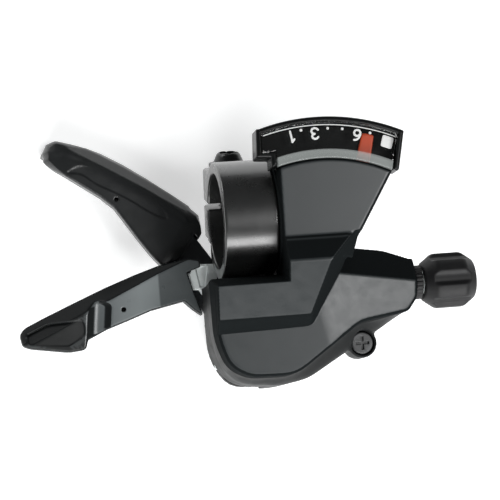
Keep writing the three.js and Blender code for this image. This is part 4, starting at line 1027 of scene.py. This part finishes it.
def release_lever_cover(x, y, z):
    top = RELEASE_COVER_Z[1]
    body = prism(RELEASE_OUTLINE, RELEASE_COVER_Z, x, y, z, 0.5)
    ridge = plane((-24.6, -12.8, top), (-0.36, 0.84, 0.9), x, y, z)
    bend = either(plane((-19.3, -15.0, top - 0.3), (0.04, 0, 1), x, y, z),
                  plane((-19.3, -15.0, top - 0.3), (-0.04, 0, 1), x, y, z))
    surface = both(ridge, bend, 0.25)
    body = both(body, surface, 0.4)
    valley = np.hypot(x + 34.0 - 0.12 * (y + 20), z - (top + 1.9)) - 3.3
    valley = both(valley, y + 15.6 + (x + 34) * 0.35, 0.8)
    body = minus(body, valley, 0.5)
    body = minus(body, both(poly(PADDLE, x, y), -0.7 - surface), 0.45)
    pocket = [
        (-27.4, -14.8), (-27.4, -18.6), (-14, -15.0), (-4, -15.0), (-4, -8.1), (-11.5, -8.0), (-12, -9.9),
    ]
    body = minus(body, prism(pocket, (RELEASE_PLATE_Z[0] - FIT, RELEASE_PLATE_Z[1] + FIT), x, y, z))
    return minus(body, both(np.hypot(x + 28.1, y + 18.1) - 0.5, top - 2.2 - z), 0.12)


model("release_lever_cover", release_lever_cover, (-53.5, -28, -16.2), (-7.6, -6.2, -11), 0.2,
      "release_lever", "lever_grey")


# ---- barrel adjuster ----
def adjuster_knob(x, y, z):
    dy, dz = y - CABLE_Y, z - CABLE_Z
    radius, angle = np.hypot(dy, dz), np.arctan2(dz, dy)
    lobe = np.cos(6 * angle)
    grip = smooth(x, 42.4, 43.4) * (1 - smooth(x, 51.6, 52.9))
    body = radius - (6.5 - 0.8 * grip * smooth(-lobe, -0.25, 0.9))
    body = both(body, slab(x, 41.2, 53.7), 0.3)
    body = both(body, (radius - 4.4) * 0.81 - (x - 41.2) * 0.58, 0.35)
    body = both(body, (radius - 4.5) * 0.81 + (x - 53.7) * 0.58, 0.35)
    body = minus(body, both(radius - 3.2, slab(x, 40, 45.3)), 0.2)
    body = minus(body, radius - 1.4)
    return minus(body, both(radius - 2.6, 47 - x), 0.35)


model("adjuster_knob", adjuster_knob, (40.7, -25, -5.7), (54.3, -10.6, 8.7), 0.17, "adjuster", "knob_black")
thread = [(2.9 - 0.18 * (i % 2), 26.4 + 0.4 * i) for i in range(46)]
turned("adjuster_bolt", [(1.1, 26), (2.6, 26), *thread, (2.8, 45), (1.1, 45)], "adjuster", "zinc_steel",
       axis="x")


def detent_ring(x, y, z):
    dy, dz = y - CABLE_Y, z - CABLE_Z
    radius, angle = np.hypot(dy, dz), np.arctan2(dz, dy)
    body = both(radius - 4.0 + 0.15 * smooth(np.cos(24 * angle), 0, 1), slab(x, 39.2, 40.9), 0.2)
    return minus(body, radius - 3.2, 0.1)


model("adjuster_detent_ring", detent_ring, (38.9, -22.2, -2.9), (41.2, -13.4, 5.9), 0.13,
      "adjuster_carriage", "knob_black")

# ---- stage, light and camera ----
scene = bpy.context.scene


def floor():
    half, height = 3000, -26.3
    corners = [(-half, -half, height), (half, -half, height), (half, half, height), (-half, half, height)]
    paint = material("pale_floor", (0.86, 0.87, 0.87), 0.8, grain=0.02, grain_size=3, mottle=0.01,
                     specular=0.2)
    glow(paint, 0.5)
    mesh_object("floor", corners, [(0, 1, 2, 3)], paint)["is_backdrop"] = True


floor()


def softbox(name, position, size, power):
    """A soft lamp that looks at the part."""
    light = bpy.data.lights.new(name, "AREA")
    light.shape = "RECTANGLE"
    light.size, light.size_y = size
    light.energy = power
    lamp = bpy.data.objects.new(name, light)
    scene.collection.objects.link(lamp)
    lamp.location = position
    lamp.rotation_euler = (Vector((0, -0.01, 0)) - Vector(position)).to_track_quat("-Z", "Y").to_euler()


softbox("key", (0.0, -0.78, 0.47), (1.1, 0.52), 14)
softbox("top", (0.62, -0.14, 1.15), (0.55, 0.42), 7.5)
softbox("rim", (-0.6, 0.75, 0.22), (0.6, 0.35), 3)
world = bpy.data.worlds.new("studio")
scene.world = world
world.use_nodes = True
world.node_tree.nodes["Background"].inputs["Color"].default_value = (0.95, 0.98, 1.0, 1)
world.node_tree.nodes["Background"].inputs["Strength"].default_value = 0.1

TO_CAMERA = Vector((-0.1727, -0.1045, 0.9794)).normalized()
IMAGE_RIGHT = Vector((0.98264, -0.08668, 0.16402)).normalized()
IMAGE_UP = TO_CAMERA.cross(IMAGE_RIGHT).normalized()
low, high = (Vector(corner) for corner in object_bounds())
camera = bpy.data.cameras.new("camera")
camera.lens = 135
camera.sensor_width = 36
camera.clip_end = 10
camera.clip_start = 0.01
viewer = bpy.data.objects.new("camera", camera)
scene.collection.objects.link(viewer)
middle = (low + high) / 2 + Vector((0.0015, 0.0005, 0))
distance = 0.118 * camera.lens / camera.sensor_width
basis = Matrix((IMAGE_RIGHT, IMAGE_UP, TO_CAMERA)).transposed().to_4x4()
viewer.matrix_world = Matrix.Translation(middle + TO_CAMERA * distance) @ basis
scene.camera = viewer
scene.view_settings.view_transform = "Standard"
scene.view_settings.look = "None"
